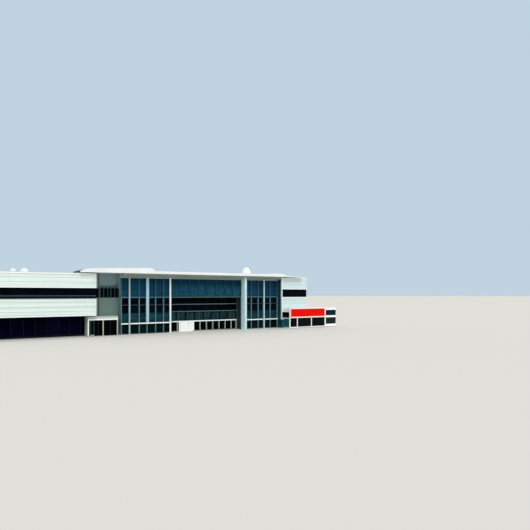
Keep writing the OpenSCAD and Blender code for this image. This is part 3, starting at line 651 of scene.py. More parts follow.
column_x = np.append(X_HALL + COLUMN_PLACES, X_HALL_END - RIGHT_COLUMN_IN)
column_y = (Y_FRAME - COLUMN_W, Y_FRAME)
for name, x, width, foot, paint in zip(
        ("first_column", "broad_column", "bright_column", "right_column"), column_x,
        (COLUMN_W, BROAD_W, COLUMN_W, COLUMN_W), (0, BEAM_Z[1], 0, 0),
        ("post ash", "post blue", "trim white", "post teal")):
    bars(name, around(x, width), column_y, (foot, eaves_z(column_y[0])), paint, 3,
         "white_steel", "hall_columns")
BLADE_LOW = BOX["blade_column"][0]
bar_set("white_steel", None,
        ("column_base_plates", around(column_x[[0, 2, 3]], PLATE_W),
         (Y_FRAME - PLATE_D, Y_FRAME), (0, PLATE_T), "post white"),
        # Painted light: a paler sheet lifts the shade on the blade's left side
        ("blade_side_sheet", reach(BLADE_LOW[0], -1, 1), (BLADE_LOW[1] + 2, Y_FRAME - 2),
         (1, eaves_z(BLADE_LOW[1] + 2)), "blade side", 0.5))

# %% [markdown]
# ## The soffit and the roof's edge
#
# Under the roof's overhang the real building has boards of grey-green metal, which run up from
# the head of the glass to the roof's front edge. The solid is painted white all over, so a
# thin lining just under its slope shows the boards, with a narrow joint every two metres. A
# pale flashing closes the lining against the glass, and end caps close it at both sides. Each
# board and cap is an outline carried along the building.

# %% Line the soffit
EDGE_W = 14
BOARD_L, BOARD_GAP, BOARD_T, CAP_T = 200, 3, 3, 2


def carried(name, ring, runs, finish, axis=0):
    """A ring of points carried along an axis, from the start to the end of each run. Two caps
    close it, and each side joins two neighbours of the ring."""
    runs, n = np.atleast_2d(runs), len(ring)
    points = np.empty((len(runs), 2, n, 3))
    points[..., axis] = runs[:, :, None]
    points[..., [k for k in range(3) if k != axis]] = ring
    i, start = np.arange(n), 2 * n * np.arange(len(runs))[:, None, None]
    j = (i + 1) % n
    caps, walls = np.stack([i, 2 * n - 1 - i]), np.stack([i, i + n, j + n, j], 1)
    faces = (caps + start).reshape(-1, n).tolist() + (walls + start).reshape(-1, 4).tolist()
    show(name, points.reshape(-1, 3), faces, finish)


soffit_y = np.array([ROOF_LOW[1] + EDGE_W, Y_FRAME - 2])
soffit_z = eaves_z(soffit_y) - 1
board_ring = [*zip(soffit_y, soffit_z), *zip(soffit_y[::-1], soffit_z[::-1] - BOARD_T)]
board_edges = np.linspace(*whole, int(round((X_HALL_END - X_HALL) / BOARD_L)) + 1)
carried("soffit_boards", board_ring, between(board_edges, BOARD_GAP / 2), "soffit")
bars("soffit_flashing", whole, reach(Y_FRAME, -10, -1), reach(GLASS_HEAD_Z, -6, 4), "flashing")
cap_ring = [(soffit_y[0], ROOF_Z), (Y_FRAME, GLASS_HEAD_Z), (Y_FRAME, ROOF_Z)]
carried("left_eaves_cap", cap_ring, reach(X_HALL, -CAP_T, 0), "soffit")
carried("right_eaves_cap", cap_ring, reach(X_HALL_END, 0, CAP_T), "soffit")

# %% [markdown]
# ## The wings' panels
#
# The wings are clad in long level panels. A darker line lies in each joint of two courses,
# butt joints cross the courses at each panel's length, and bright trims run along the edges of
# both bands and up their ends.

# %% Line the joints and put on the trims
JOINT_W, JOINT_D, LIP_H, LIP_D, BUTT_W = 7, 5, 22, 8, 3
PROUD = 0.6


def joint_levels(low, high):
    """Heights of the joints between courses, counted down from the top of a band to half a
    course above its foot."""
    return np.arange(high - PANEL_H, low + PANEL_H / 2 - 0.001, -PANEL_H)


def wing_front(side, bands, foot, trim_x, joint):
    """Joint lines, butt joints and trims of one wing's front, from its bands' heights."""
    x, y = span(side + "_front_wall", 0), BOX[side + "_front_wall"][0][1] + LIP_D
    levels = np.concatenate([joint_levels(*band) for band in bands])
    places = np.arange(x[1] - 0.6 * PANEL_L, x[0] + 0.2 * PANEL_L, -PANEL_L)
    lips = [reach(SILL_Z, -LIP_H, 0), reach(HEAD_Z, 0, LIP_H), reach(PARAPET_Z, -LIP_H, 0)]
    if foot:
        lips.append(reach(bands[0][0], 0, LIP_H))
    trim_y = (y - LIP_D - PROUD, y)
    upright_z = np.array(bands) + [(LIP_H if foot else 0, -LIP_H), (LIP_H, -LIP_H)]
    bar_set("white_panel", None,
            (side + "_course_joints", (x[0] + 1, x[1] - 1), reach(y + JOINT_D, -2, 1),
             around(levels + JOINT_W / 2, JOINT_W), joint, 0.3),
            *((side + "_butt_joints_%d" % i, around(places, BUTT_W), reach(y, -0.3, 1),
               (band[0] + LIP_H, band[1] - LIP_H), "soft joint", 0.1)
              for i, band in enumerate(bands)),
            (side + "_edge_trims", x, trim_y, lips, "trim white", 1),
            (side + "_end_trims", reach(trim_x, 0, LIP_H), trim_y, upright_z, "trim white", 0.3))


X_WING, X_WING_END = span("right_wing_front_wall", 0)
WING_FOOT = span("right_wing_front_wall", 2)[0]
wing_front("left_wing", [(UPPER_Z, SILL_Z), (HEAD_Z, PARAPET_Z)], True, X_LINK - LIP_H, "joint")
wing_front("right_wing", [(WING_FOOT, SILL_Z), (HEAD_Z, PARAPET_Z)], False, X_WING, "cool joint")

# %% [markdown]
# ## Copings
#
# Folded sheet caps the parapets, with a narrow open seam at each joint of the sheets. It is
# drawn inside the solids' outline at the ends of the building.

# %% Cap the parapets
COPING_T, COPING_GAP, WALL_T, LONG_SHEETS, END_SHEETS = 5, 0.7, 30, 8, 9
Y_WING_BACK = span("left_wing_back_wall", 1)[1]


def coping(name, x, y, along, count):
    """Cap sheets side by side along x (0) or y (1), with narrow open seams."""
    runs = between(np.linspace(*(x, y)[along], count + 1), COPING_GAP)
    xs, ys = (runs, y) if along == 0 else (x, runs)
    bars(name, xs, ys, reach(PARAPET_Z, 0, COPING_T), "roof white", 0.8, "white_panel")


for side, x in (("left", (X_LEFT, X_LINK)), ("right", (X_WING, X_WING_END))):
    y_front = span(side + "_wing_front_wall", 1)[0]
    inner_y = (y_front + LIP_D + WALL_T, Y_WING_BACK - WALL_T)
    coping(side + "_front_coping", x, (y_front, inner_y[0]), 0, LONG_SHEETS)
    coping(side + "_back_coping", x, (inner_y[1], Y_WING_BACK + 2), 0, LONG_SHEETS)
    end = reach(x[0], 0, WALL_T) if side == "left" else reach(x[1], -WALL_T, 0)
    coping(side + "_end_coping", end, inner_y, 1, END_SHEETS)

# %% [markdown]
# ## Ribbon windows
#
# Each ribbon is a row of long panes with hardly any upright to be seen. On the left wing a grey
# rail crosses it a little above the sill, and the panes below that rail are a shade lighter.

# %% Glaze the ribbons
RIBBON_RAIL_Z = (868, 888)
EDGE_STRIP, SHEET_T = 34, 8


def ribbon(side, x, levels, count, glasses):
    """Panes of a ribbon between levels, their thin dark uprights and the pane round the corner."""
    node = side + "_wing_ribbon_glass"
    y = span(node, 1)
    edges = np.linspace(x[0] + EDGE_STRIP, x[1], count + 1)
    for glass, level in zip(glasses, levels):
        panes("%s_ribbon_panes_%d" % (side, level[0]), [edges], level, reach(y[0], 0, SHEET_T),
              glass, node, spread=0.2)
    bars(side + "_ribbon_corner_pane", reach(x[1], -SHEET_T, 0), (y[0] + SHEET_T, y[1]),
         (SILL_Z, HEAD_Z), "ribbon", slot="dark_glass", node=node, tones=[0.1])
    bars(side + "_ribbon_uprights", around(edges[1:-1], 5), (y[0] - 1, y[1]), (SILL_Z, HEAD_Z),
         "ribbon bar", 0.5)


ribbon("left", (X_LEFT, X_LINK), [(SILL_Z, RIBBON_RAIL_Z[0]), (RIBBON_RAIL_Z[1], HEAD_Z)], 10,
       ("ribbon low", "ribbon"))
ribbon("right", (X_WING, X_WING_END), [(SILL_Z, HEAD_Z)], 4, ["ribbon"])
left_ribbon_y = span("left_wing_ribbon_glass", 1)[0]
left_front_y = span("left_wing_front_wall", 1)[0]
bar_set("frame_metal", None,
        ("ribbon_rail", (X_LEFT + EDGE_STRIP, X_LINK), reach(left_ribbon_y, -3, 8),
         RIBBON_RAIL_Z, "rail slate", 1),
        ("ribbon_sill_profile", (X_LEFT, X_LINK), (left_front_y - 2, left_ribbon_y),
         reach(SILL_Z, -16, 3), "sill dark", 1))

# %% [markdown]
# ## The left wing's ground floor
#
# Set back under the upper storey, this glazing is nearly black with a trace of navy. Its own
# bars are as dark, so the panes only part by their tone, and a dark kick rail runs along it.

# %% Glaze the left wing's ground floor
GROUND_BAYS, KICK_TOP, KICK_END = 10, 44, 170
ground_x = np.linspace(X_LEFT + BAR_W / 2, X_LINK - BAR_W / 2, GROUND_BAYS + 1)
bars("left_wing_ground_panes", between(ground_x, BAR_W / 2), span("left_wing_ground_glass", 1),
     span("left_wing_ground_glass", 2), "wing ground", slot="dark_glass",
     node="left_wing_ground_glass", tones=rng.uniform(0, 0.7, GROUND_BAYS))
frame_front = span("left_wing_ground_frame", 1)[0]
bars("left_wing_kick_rail", (X_LEFT, X_LINK - KICK_END), reach(frame_front, -3, 0),
     reach(FLOOR_Z, BAR_W, KICK_TOP), "frame navy")

# %% [markdown]
# ## The clad link
#
# The ribbed wall between wing and hall has one dark window behind a screen of upright fins, and a
# dark strip where it meets the wing, a painted shade in that corner. The screen turns the corner
# onto the hall's side. The fins stand at uneven places, and above the window their heads end at
# uneven heights, so those heights are drawn from a seeded generator.

# %% Put the fins before the link's window
LINK_WINDOW_LOW, LINK_WINDOW_HIGH = BOX["link_window"]
WINDOW_Y, SCREEN_END = LINK_WINDOW_LOW[1], LINK_WINDOW_HIGH[0]
RIB_Y = WINDOW_Y - 11
FIN_IN, FIN_W = np.array([286, 194, 121, 31]), np.array([20, 17, 24, 18])
RETURN_FIN_IN, HEADS, HEAD_W, NOTCH_W = np.array([38, 74]), 16, 17, 8
fin_rng = np.random.default_rng(3)
screen_z = (LINK_WINDOW_LOW[2], LINK_WINDOW_HIGH[2])
head_x = np.linspace(SCREEN_END - 385, X_HALL - 12, HEADS)
head_z = [(screen_z[1], top) for top in screen_z[1] + fin_rng.uniform(44, 92, HEADS)]
notch_z = [(screen_z[1] - 2, top) for top in screen_z[1] + fin_rng.uniform(4, 30, HEADS - 1)]
bar_set("grey_cladding", None,
        ("link_corner_panel", (SCREEN_END - 3, X_HALL), reach(RIB_Y, -3, 8), screen_z,
         "ribbon bar", 0.5),
        ("link_return_panel", reach(X_HALL, -3, 1), reach(RIB_Y, -92, -3), screen_z,
         "ribbon bar", 0.5),
        ("link_side_panel", reach(SCREEN_END, -401, -351), (RIB_Y - 4, WINDOW_Y), screen_z,
         "fin grey", 0.6),
        # A dark strip painted where shade falls in the corner between wing and link
        ("link_corner_painted_shade", reach(SCREEN_END, -403, -386), reach(RIB_Y, -1, 6),
         [(BOX["porch_roof"][1][2], screen_z[0]), (screen_z[1], BOX["link_wall"][1][2] - 2)],
         "dark cladding", 0.5),
        ("link_fins", around(SCREEN_END - FIN_IN, FIN_W), (RIB_Y - 9, WINDOW_Y), screen_z,
         "fin grey", 1),
        ("link_return_fins", reach(X_HALL, -8, -2), around(RIB_Y - RETURN_FIN_IN, 10), screen_z,
         "fin grey", 0.6),
        ("link_head_fins", around(head_x, HEAD_W), reach(RIB_Y, -4, 8), head_z, "fin shade", 0.6),
        ("link_head_notches", around((head_x[:-1] + head_x[1:]) / 2, NOTCH_W),
         reach(RIB_Y, -2, 8), notch_z, "ribbon bar", 0.4))

# %% [markdown]
# ## The entrance porch
#
# The porch has a pale grey fascia with a bright drip edge along its foot, a metal capping and a
# flat roof with a few seams. Its left return is boarded upright, glazing bars divide the front,
# and three posts stand at its edge.

# %% Finish the porch
(PORCH_X0, PORCH_Y, SOFFIT_Z), (PORCH_X1, PORCH_BACK, PORCH_TOP) = BOX["porch_roof"]
DRIP_H, CAP_H, CAP_D, SEAM_T, PORCH_TRAYS, SIDE_BOARDS = 30, 9, 26, 4, 6, 7
cap_z = reach(PORCH_TOP, -CAP_H, 2)
roof_x = np.linspace(PORCH_X0 + 20, PORCH_X1 - 40, PORCH_TRAYS + 1)
bar_set("white_steel", None,
        ("porch_drip_edge", (PORCH_X0 - PROUD, PORCH_X1 + PROUD), reach(PORCH_Y, -3, 0),
         reach(SOFFIT_Z, 0, DRIP_H), "trim white", 1),
        ("porch_capping", (PORCH_X0 - 2, PORCH_X1 + 2), reach(PORCH_Y, -5, CAP_D), cap_z,
         "flashing", 1),
        ("porch_side_capping", reach(PORCH_X1, -CAP_D, 2),
         (PORCH_Y + CAP_D, span("link_wall", 1)[1] - 30), cap_z, "flashing", 1),
        ("porch_roof_seams", around(roof_x[1:-1], SEAM_T),
         (PORCH_Y + CAP_D + 2, PORCH_BACK - 60), reach(PORCH_TOP, 0, 3), "flashing", 0.8))
side_edges = np.linspace(*span("porch_side_wall", 1), SIDE_BOARDS + 1)
bars("porch_side_boards", reach(span("porch_side_wall", 0)[0], -4, 1), between(side_edges, 2),
     (FLOOR_Z, SOFFIT_Z - 2), "pale return", 1, "grey_cladding")
PORCH_GLASS_Y = span("porch_glass", 1)[0]
POST_SIDE, MID_SHARE = 24, 0.48
mid_post_x = PORCH_X0 + MID_SHARE * (PORCH_X1 - PORCH_X0)
bar_places = [mid_post_x + POST_SIDE + 150, mid_post_x - 95]
transom_x = [(PORCH_X0 + POST_SIDE, mid_post_x), (mid_post_x + POST_SIDE, PORCH_X1 - POST_SIDE)]
bar_set("frame_metal", None,
        ("porch_glazing_bars", around(bar_places, 7), reach(PORCH_GLASS_Y, -5, 3),
         (FLOOR_Z, SOFFIT_Z), "frame dark", 1),
        ("porch_transom", transom_x, reach(PORCH_GLASS_Y, -4, 2), reach(SOFFIT_Z, -8, 0),
         "frame dark", 1))
bar_set("white_steel", "porch_posts",
        *(("porch_%s_post" % name, reach(x, 0, POST_SIDE), reach(PORCH_Y, 0, POST_SIDE),
           (FLOOR_Z, SOFFIT_Z), paint, 2)
          for name, x, paint in (("left", PORCH_X0, "trim white"),
                                 ("middle", mid_post_x, "post grey"),
                                 ("right", PORCH_X1 - POST_SIDE, "post grey"))))

# %% [markdown]
# ## The door
#
# The leaf keeps its own frame and its upright pull handle, and gets a pane of dark glass and a
# bright kick plate. These ride with the leaf when it turns.

# %% Dress the door
DOOR_LOW, DOOR_HIGH = BOX["porch_door"]
LEAF_T, RAIL = 8, 12
leaf_y = PORCH_Y + POST_SIDE / 2
leaf_z = (FLOOR_Z + 5, SOFFIT_Z - 5)
bars("door_pane", (DOOR_LOW[0] + RAIL, DOOR_HIGH[0] - RAIL), reach(leaf_y, -2.5, 2.5),
     (leaf_z[0] + 2 * RAIL, leaf_z[1] - RAIL), "black", 0.5, "door_leaf", tones=[0.6],
     body="door")
bars("door_kick_plate", (DOOR_LOW[0] + 4, DOOR_HIGH[0] - 4), reach(leaf_y - LEAF_T / 2, -0.7, 0),
     reach(leaf_z[0], 3, 20), "flashing", 0.2, "door_leaf", body="door")

# %% [markdown]
# ## The set-back walls and the service block
#
# The right return of the set-back stretch is clad in two greys, dark in front and lighter
# behind. The white block beside the doors is made of flush panels with fine joints, a small
# bulkhead fitting and a capping.

# %% Line the returns and detail the block
RETURN_Y = span("recess_side_walls", 1)
RETURN_SHARE, FITTING_SHARE, FITTING_R, FITTING_DROP = 0.58, 0.68, 15, 68
return_mid = RETURN_Y[0] + RETURN_SHARE * (RETURN_Y[1] - RETURN_Y[0])
return_x, return_z = reach(X_RECESS_END, -2, 1), (FLOOR_Z + 2, TRANSOM_Z - 2)
bar_set("grey_cladding", None,
        ("return_front_lining", return_x, (RETURN_Y[0], return_mid - 1), return_z,
         "dark cladding", 0.4),
        ("return_rear_lining", return_x, (return_mid + 1, Y_RECESS_FRAME), return_z,
         "grey return", 0.4))
block_front, block_top = BLOCK_LOW[1], BLOCK_HIGH[2]
bar_set("white_steel", None,
        ("block_joints", around([BLOCK_LOW[0] + 36, BLOCK_HIGH[0] - 120], 2.5),
         reach(block_front, -0.4, 1), (FLOOR_Z + 8, block_top - 30), "joint", 0.1),
        ("block_capping", (BLOCK_LOW[0] - 1, BLOCK_HIGH[0] + 1), reach(block_front, -2, 4),
         reach(block_top, -26, 1), "beam white", 0.8))


def bulkhead(name, x, y, z, radius, out, turns=24, rises=7):
    """A flattened dome: radius shrinks as the root of one minus the square of its height."""
    turn, rise = np.meshgrid(np.linspace(0, 2 * math.pi, turns, endpoint=False),
                             np.linspace(0, 1, rises), indexing="ij")
    r = radius * np.sqrt(1 - (0.995 * rise) ** 2)
    points = np.stack([x + r * np.cos(turn), y - out * rise, z + 0.6 * r * np.sin(turn)], -1)
    ring, up = np.meshgrid(np.arange(turns), np.arange(rises - 1), indexing="ij")
    here, beside = ring * rises + up, (ring + 1) % turns * rises + up
    faces = np.stack([here, beside, beside + 1, here + 1], -1).reshape(-1, 4).tolist()
    faces.append((np.arange(turns) * rises + rises - 1).tolist())
    show(name, points.reshape(-1, 3), faces, "louvre")


fitting_x = BLOCK_LOW[0] + FITTING_SHARE * (BLOCK_HIGH[0] - BLOCK_LOW[0])
bulkhead("block_light", fitting_x, block_front, block_top - FITTING_DROP, FITTING_R, 8)

# %% [markdown]
# ## The pavilion
#
# The red board lies inside its pale border like a picture in a frame. Below it, dark panes
# stand between the posts. The left face's two windows go on round the corner along the wing's
# front.

# %% Finish the pavilion's board and glass
(RED_X0, RED_Y, RED_Z0), (RED_X1, RED_BACK, RED_Z1) = BOX["red_fascia"]
(TRIM_X0, TRIM_Y, TRIM_Z0), (TRIM_X1, TRIM_BACK, TRIM_Z1) = BOX["fascia_trim"]
PAVILION_SOFFIT_Z, PAVILION_TOP_Z = span("pavilion_roof", 2)
bars("board_border",
     [(TRIM_X0, TRIM_X1), (TRIM_X0, TRIM_X1), (TRIM_X0, RED_X0), (RED_X1, TRIM_X1)],
     (TRIM_Y, TRIM_BACK),
     [(TRIM_Z0, RED_Z0), (RED_Z1, TRIM_Z1), (RED_Z0, RED_Z1), (RED_Z0, RED_Z1)],
     "red trim", 2, "pale_trim", "fascia_trim")
bars("board_face", (RED_X0, RED_X1), (RED_Y + 2, RED_BACK), (RED_Z0, RED_Z1), "red board", 1,
     "red_board", "red_fascia")
FIRST_BAY, PAVILION_POST = 250, 24
HIGH_PANE_Z, LOW_PANE_Z, LOW_CORNER_Z = (275, 430), (24, 255), (12, 232)
HIGH_CORNER_L, LOW_CORNER_L = 42, 60
last_post, second_post = TRIM_X1 - PAVILION_POST, TRIM_X0 + FIRST_BAY
post_x = np.array([TRIM_X0, second_post, (second_post + last_post) / 2, last_post])
bays = np.stack([post_x[:-1] + PAVILION_POST, post_x[1:]], 1)
glass_y = reach(TRIM_BACK + PAVILION_POST / 2, -4, 4)
side_x = reach(TRIM_X0, 11, 19)
side_y = (TRIM_BACK + PAVILION_POST, span("pavilion_glass", 1)[1])
WING_Y = span("right_wing_front_wall", 1)[0]
for name, xs, ys, zs, glass, tones, node in (
        ("panes", bays, glass_y, (FLOOR_Z, PAVILION_SOFFIT_Z), "black", [0.2, 0.9, 0.4],
         "pavilion_glass"),
        ("side_upper_pane", side_x, side_y, HIGH_PANE_Z, "black", [0.3], "pavilion_glass"),
        ("side_lower_pane", side_x, side_y, LOW_PANE_Z, "teal", [0.4], "pavilion_glass"),
        ("corner_upper_pane", (TRIM_X0 - HIGH_CORNER_L, side_x[0]), reach(WING_Y, -2, 1),
         HIGH_PANE_Z, "black", [0.3], None),
        ("corner_lower_pane", (TRIM_X0 - LOW_CORNER_L, side_x[0]), reach(WING_Y, -2, 1),
         LOW_CORNER_Z, "teal", [0.4], None)):
    bars("pavilion_" + name, xs, ys, zs, glass, slot="dark_glass", node=node, tones=tones)

# %% [markdown]
# ## The pavilion's sills and end room
#
# The front's panes stand on a pale sill, and slim dark bars divide them at uneven shares of
# each bay. The room at the right end has its own panes and bars. A capping and a few seams
# close the roof.

# %% Add the pavilion's sills, bars, end room and capping
SILL_H, PAVILION_TRAYS = 22, 12
ROOM_WINDOW_Z, ROOM_SCREEN_Z = (316, 469), (79, 262)
bars("pavilion_sills", bays, reach(TRIM_BACK, 4, PAVILION_POST), reach(FLOOR_Z, 0, SILL_H),
     "trim white", 1, "white_steel")
bar_x = np.concatenate([bays[1, 0] + np.diff(bays[1]) * [0.35, 0.7],
                        bays[2, 0] + np.diff(bays[2]) * [0.5, 0.85], bays[0].mean(keepdims=True)])
bars("pavilion_glazing_bars", around(bar_x, 5), reach(glass_y[0], -3, 1),
     (FLOOR_Z + SILL_H, PAVILION_SOFFIT_Z), "frame dark", 0.8)
room_x, room_y = span("end_room_glass", 0), span("end_room_glass", 1)
room_places = room_x[0] + (room_x[1] - room_x[0]) * np.array([0.34, 0.67])
for name, z, glass in (("window", ROOM_WINDOW_Z, "end room"),
                       ("screen", ROOM_SCREEN_Z, "end screen")):
    bars("end_room_%s_pane" % name, room_x, room_y, z, glass, slot="dark_glass",
         node="end_room_glass", tones=[0.4])
    bars("end_room_%s_bars" % name, around(room_places, 5), reach(room_y[0], -2, 1), z,
         "frame dark", 0.6)
X_END = BOX["pavilion_roof"][1][0]
seam_x = np.linspace(TRIM_X0, X_END, PAVILION_TRAYS + 1)[1:-1]
bar_set("white_panel", None,
        ("pavilion_capping", (TRIM_X0, X_END), reach(TRIM_Y, 6, 40), reach(PAVILION_TOP_Z, 0, 6),
         "roof white", 1),
        ("pavilion_roof_seams", around(seam_x, SEAM_T), (TRIM_Y + 42, WING_Y),
         reach(PAVILION_TOP_Z, 0, 3), "flashing", 0.8))

# %% [markdown]
# ## The right wing's foot
#
# Below its panels the right wing has a low band of glass with dark uprights. The glass of its
# left return is divided by slim navy bars.

# %% Finish the right wing's foot
FOOT_BAYS = 7
wing_glass_y = span("right_wing_ground_glass", 1)[0]
return_y = span("right_wing_side_glass", 1)
upright_x = np.linspace(X_WING, X_WING_END, FOOT_BAYS + 1)[1:-1]
bar_set("frame_metal", None,
        ("right_wing_uprights", around(upright_x, SLIM_W), reach(wing_glass_y, -3, 1),
         (FLOOR_Z, WING_FOOT), "frame dark", 1),
        ("return_glass_rails", reach(X_WING, -2, 1), return_y,
         around([*RAILS_Z, TRANSOM_Z], SLIM_W), "frame navy", 0.5),
        ("return_glass_uprights", reach(X_WING, -3, 1), around(np.mean(return_y), SLIM_W),
         (FLOOR_Z, PARAPET_Z - 4), "frame navy", 0.5))

# %% [markdown]
# ## The roof
#
# The main roof is sheeted in long trays, whose standing seams run from front to back. A gutter
# lies behind the front edge, and the monitor is clad the same way. At the left the slab thins to
# a tip. A dark sheet on its end is a painted shade for that end face, and a bare galvanised one
# lies on its slope.

# %% Seam the main roof
MONITOR_LOW, MONITOR_HIGH = BOX["roof_monitor"]
ROOF_TOP_Z = MONITOR_LOW[2]
TIP_D, TIP_T, TAPER_L, SHEET_STEP = 490, 18, 90, 2
tip_y = reach(ROOF_LOW[1], 3, TIP_D - 1)
# A dark sheet painted as the shade on the roof tip's end face
bars("roof_end_sheet", reach(ROOF_LOW[0], 0, 2), tip_y, reach(ROOF_Z, -5, TIP_T + 2), "roof end",
     0.5, "roof_white")
ramp = np.array([(ROOF_LOW[0] + 1, ROOF_Z + TIP_T), (ROOF_LOW[0] + TAPER_L, ROOF_TOP_Z)])
carried("roof_ramp_sheet", [*ramp, *(ramp[::-1] + [0, SHEET_STEP])], tip_y,
        "galvanised", axis=1)
SEAM_PITCH, SEAM_W, SEAM_H = 120, 5, 6
FLAT_END = X_HALL_END - 700
seam_x = np.arange(X_LINK, FLAT_END, SEAM_PITCH)
seam_front = np.where(seam_x < MONITOR_HIGH[0] + 10, MONITOR_HIGH[1] + 4, ROOF_LOW[1] + 30)
seam_y = np.stack([seam_front, np.full_like(seam_front, ROOF_HIGH[1] - 10)], 1)
RUN_IN, RUN_OUT, RISE_IN, RISE_OUT, MONITOR_PITCH = 215, 95, 34, 68, 240
slope_start, slope_end = MONITOR_LOW[0] + RUN_IN, MONITOR_HIGH[0] - RUN_OUT
monitor_x = np.arange(slope_start + 60, slope_end, MONITOR_PITCH)
share = (monitor_x - slope_start) / (slope_end - slope_start)
monitor_top = ROOF_TOP_Z + RISE_IN + share * (RISE_OUT - RISE_IN)
bar_set("roof_white", None,
        ("roof_seams", around(seam_x, SEAM_W), seam_y, reach(ROOF_TOP_Z, 0, SEAM_H),
         "roof white", 1),
        ("front_gutter_edge", (MONITOR_HIGH[0] + 4, FLAT_END), reach(ROOF_LOW[1], 22, 26),
         reach(ROOF_TOP_Z, 0, 4), "flashing", 0.6),
        ("monitor_seams", around(monitor_x, SEAM_W), (MONITOR_LOW[1] + 4, MONITOR_HIGH[1] - 4),
         np.stack([monitor_top - 3, monitor_top + 4], 1), "roof white", 1))

# %% [markdown]
# ## Round flashings and the wings' roofs
#
# A round flashing, a low turned ring of sheet, seals the foot of the bell-shaped ventilator and
# of the two drums. The wings' roofs are laid with strips of membrane that lap each other and
# turn up against the parapets.

# %% Flash the round pieces and lay the membrane
def revolved(name, centre, radii, heights, finish, count=64):
    """A closed ring swept round Z: each point lies at its radius and height on a circle."""
    turn, k = np.linspace(0, 2 * math.pi, count, endpoint=False), len(radii)
    points = np.stack([centre[0] + np.outer(np.cos(turn), radii),
                       centre[1] + np.outer(np.sin(turn), radii),
                       np.broadcast_to(heights, (count, k))], -1)
    i, j = np.meshgrid(np.arange(count), np.arange(k), indexing="ij")
    here, beside, up = i * k, (i + 1) % count * k, (j + 1) % k
    faces = np.stack([here + j, beside + j, beside + up, here + up], -1).reshape(-1, 4)
    obj = show(name, points.reshape(-1, 3), faces.tolist(), finish)
    obj.data.polygons.foreach_set("use_smooth", np.ones(len(faces), bool))


DOME_LOW, DOME_HIGH = BOX["roof_dome"]
dome_r = (DOME_HIGH[0] - DOME_LOW[0]) / 2
revolved("dome_flashing", (DOME_LOW + DOME_HIGH) / 2, dome_r + np.array([-4, 16, 15, -4]),
         ROOF_TOP_Z + np.array([0, 0, 4, 7]), "flashing")
DRUM_LOW, DRUM_HIGH = BOX["wing_roof_domes"]
DRUMS = ((1605, 118), (1395, 172))
for i, (out, width) in enumerate(DRUMS):
    revolved("drum_flashing_%d" % i, (X_LINK - out, (DRUM_LOW[1] + DRUM_HIGH[1]) / 2),
             width / 2 + np.array([-3, 12, 11, -3]), DRUM_LOW[2] + np.array([0, 0, 3, 6]),
             "flashing", 48)
LAP_PITCH, LAP_W, UPSTAND_T = 160, 10, 4
WING_ROOF_Z = span("left_wing_roof", 2)[1]
for side in ("left", "right"):
    x, y = (span(side + "_wing_roof", axis) for axis in (0, 1))
    laps = np.arange(y[0] + LAP_PITCH, y[1] - 60, LAP_PITCH)
    upstand_z = (WING_ROOF_Z, PARAPET_Z - 4)
    bar_set("roof_membrane", None,
            (side + "_membrane_laps", x, around(laps, LAP_W), reach(WING_ROOF_Z, 0, 1.2),
             "membrane lap", 0.4),
            (side + "_upstand_front", x, reach(y[0], 0, UPSTAND_T), upstand_z, "membrane", 0.5),
            (side + "_upstand_back", x, reach(y[1], -UPSTAND_T, 0), upstand_z, "membrane", 0.5))

# %% [markdown]
# ## The back
#
# The back shows what such buildings have: panelled walls and two rows of ribbon windows, each
# divided by slim dark uprights and set on a pale sill.

# %% Divide the back windows
Y_HALL_BACK = span("hall_back_wall", 1)[1]
LOW_WINDOW_Z = (120, 280)
BACK_BAY = 240
for side, node, y in (("left", "left_wing", Y_WING_BACK), ("hall", "hall", Y_HALL_BACK),
                      ("right", "right_wing", Y_WING_BACK)):
    x = span(node + "_back_wall", 0)
    glass_x = (x[0] + EDGE_STRIP, x[1] - EDGE_STRIP)
    edges = np.linspace(*glass_x, int(round((glass_x[1] - glass_x[0]) / BACK_BAY)) + 1)
    y_mid = y - WALL_T / 2
    for row, z in (("low", LOW_WINDOW_Z), ("high", (SILL_Z, HEAD_Z))):
        name = "%s_back_%s_" % (side, row)
        panes(name + "panes", [edges], z, reach(y_mid, -4, 4), "ribbon", "back_glass", spread=0.8)
        bars(name + "uprights", around(edges[1:-1], 9), reach(y_mid, -6, 10), z, "frame dark", 1)
        bars(name + "sill", glass_x, (y_mid, y + 3), reach(z[0], 0, 5), "trim white", 0.8,
             "white_panel")

# %% [markdown]
# ## Rainwater pipes
#
# Every flat roof drains somewhere. Round pipes with a flared head run down the back at the ends
# of its walls, held by brackets. A pipe is a profile of radii and heights swept round its own
# axis.

# %% Hang the rainwater pipes
PIPE_R, PIPE_STEPS, PIPE_IN, BRACKETS_Z = 8, 20, 18, (160, 560, 960)
pipe_top = PARAPET_Z - 60
profile_z = np.array([6, pipe_top - 46, pipe_top - 26, pipe_top, pipe_top, 6])
profile_r = PIPE_R * np.array([1, 1, 1.8, 1.8, 0.6, 0.6])
hall_x, wing_end = span("hall_back_wall", 0), span("right_wing_back_wall", 0)[1]
pipes = ((X_LEFT + PIPE_IN, Y_WING_BACK), (hall_x[0] + PIPE_IN, Y_HALL_BACK),
         (hall_x[1] - PIPE_IN, Y_HALL_BACK), (wing_end - PIPE_IN, Y_WING_BACK))
for i, (x, y) in enumerate(pipes):
    revolved("rainwater_pipe_%d" % i, (x, y + 1.9 * PIPE_R), profile_r, profile_z,
             "post grey", PIPE_STEPS)
    bars("pipe_brackets_%d" % i, around(x, 3 * PIPE_R), reach(y, 0, 1.5 * PIPE_R),
         around(BRACKETS_Z, 7), "post grey", 0.8, "white_steel")

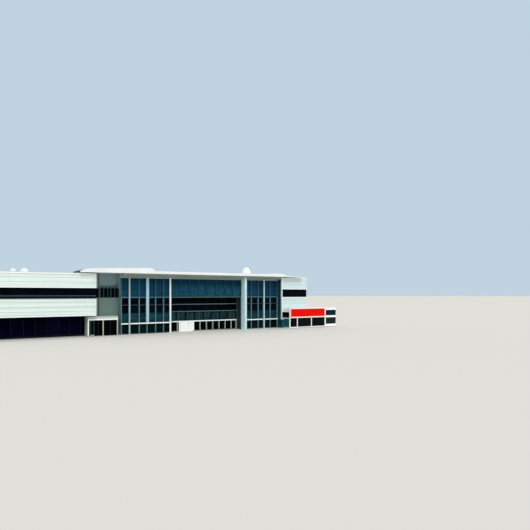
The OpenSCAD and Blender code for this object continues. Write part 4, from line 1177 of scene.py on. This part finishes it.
# %% [markdown]
# ## Floor, light and background
#
# A plain pale floor catches the shadow. The sky is an even dome and one large soft lamp stands
# for the sun, high in front and a little to the left, as the photograph's bright fronts and
# dim soffit show. The background is a pale blue grey, so that the white roof stands out.

# %% Floor and lights
# The floor's radius is in metres and the sun's angles are in degrees
FLOOR_R, RIM = 250, 64
SUN_STRENGTH, SUN_SIZE, SUN_TILT, SUN_TURN, SKY_STRENGTH = 1.24, 28, 45, -14, 0.76
turn = np.linspace(0, 2 * math.pi, RIM, endpoint=False)
rim = np.stack([FLOOR_R * np.cos(turn), FLOOR_R * np.sin(turn), np.zeros(RIM)], 1)
floor_mesh = bpy.data.meshes.new("floor")
floor_mesh.from_pydata(rim.tolist(), [], [list(range(RIM))])
floor = bpy.data.objects.new("floor", floor_mesh)
bpy.context.scene.collection.objects.link(floor)
floor_material = bpy.data.materials.new("pale_floor")
floor_material.use_nodes = True
tree = floor_material.node_tree
tree.nodes.clear()
add(tree, "OutputMaterial", {"Surface": add(tree, "BsdfDiffuse", {"Color": "#dddcd6"})})
floor_mesh.materials.append(floor_material)

world = bpy.data.worlds.new("sky")
bpy.context.scene.world = world
world.use_nodes = True
tree = world.node_tree
tree.nodes.clear()
rays = add(tree, "LightPath").outputs
first = add(tree, "Math", (rays["Is Camera Ray"], rays["Is Glossy Ray"]), operation="ADD")
seen = add(tree, "Math", (first, rays["Is Transmission Ray"]), operation="ADD", use_clamp=True)
dome = add(tree, "Background", {"Color": "#ffffff", "Strength": SKY_STRENGTH})
pale = add(tree, "Background", {"Color": "#bfd3e0", "Strength": 1.0})
add(tree, "OutputWorld", {"Surface": add(tree, "MixShader", (seen, dome, pale))})

sun_data = bpy.data.lights.new("sun", "SUN")
sun_data.energy, sun_data.angle = SUN_STRENGTH, math.radians(SUN_SIZE)
sun = bpy.data.objects.new("sun", sun_data)
sun.rotation_euler = (math.radians(SUN_TILT), 0, math.radians(SUN_TURN))
bpy.context.scene.collection.objects.link(sun)
bpy.context.scene.view_settings.view_transform = "Standard"
print("floor, sky and sun set")
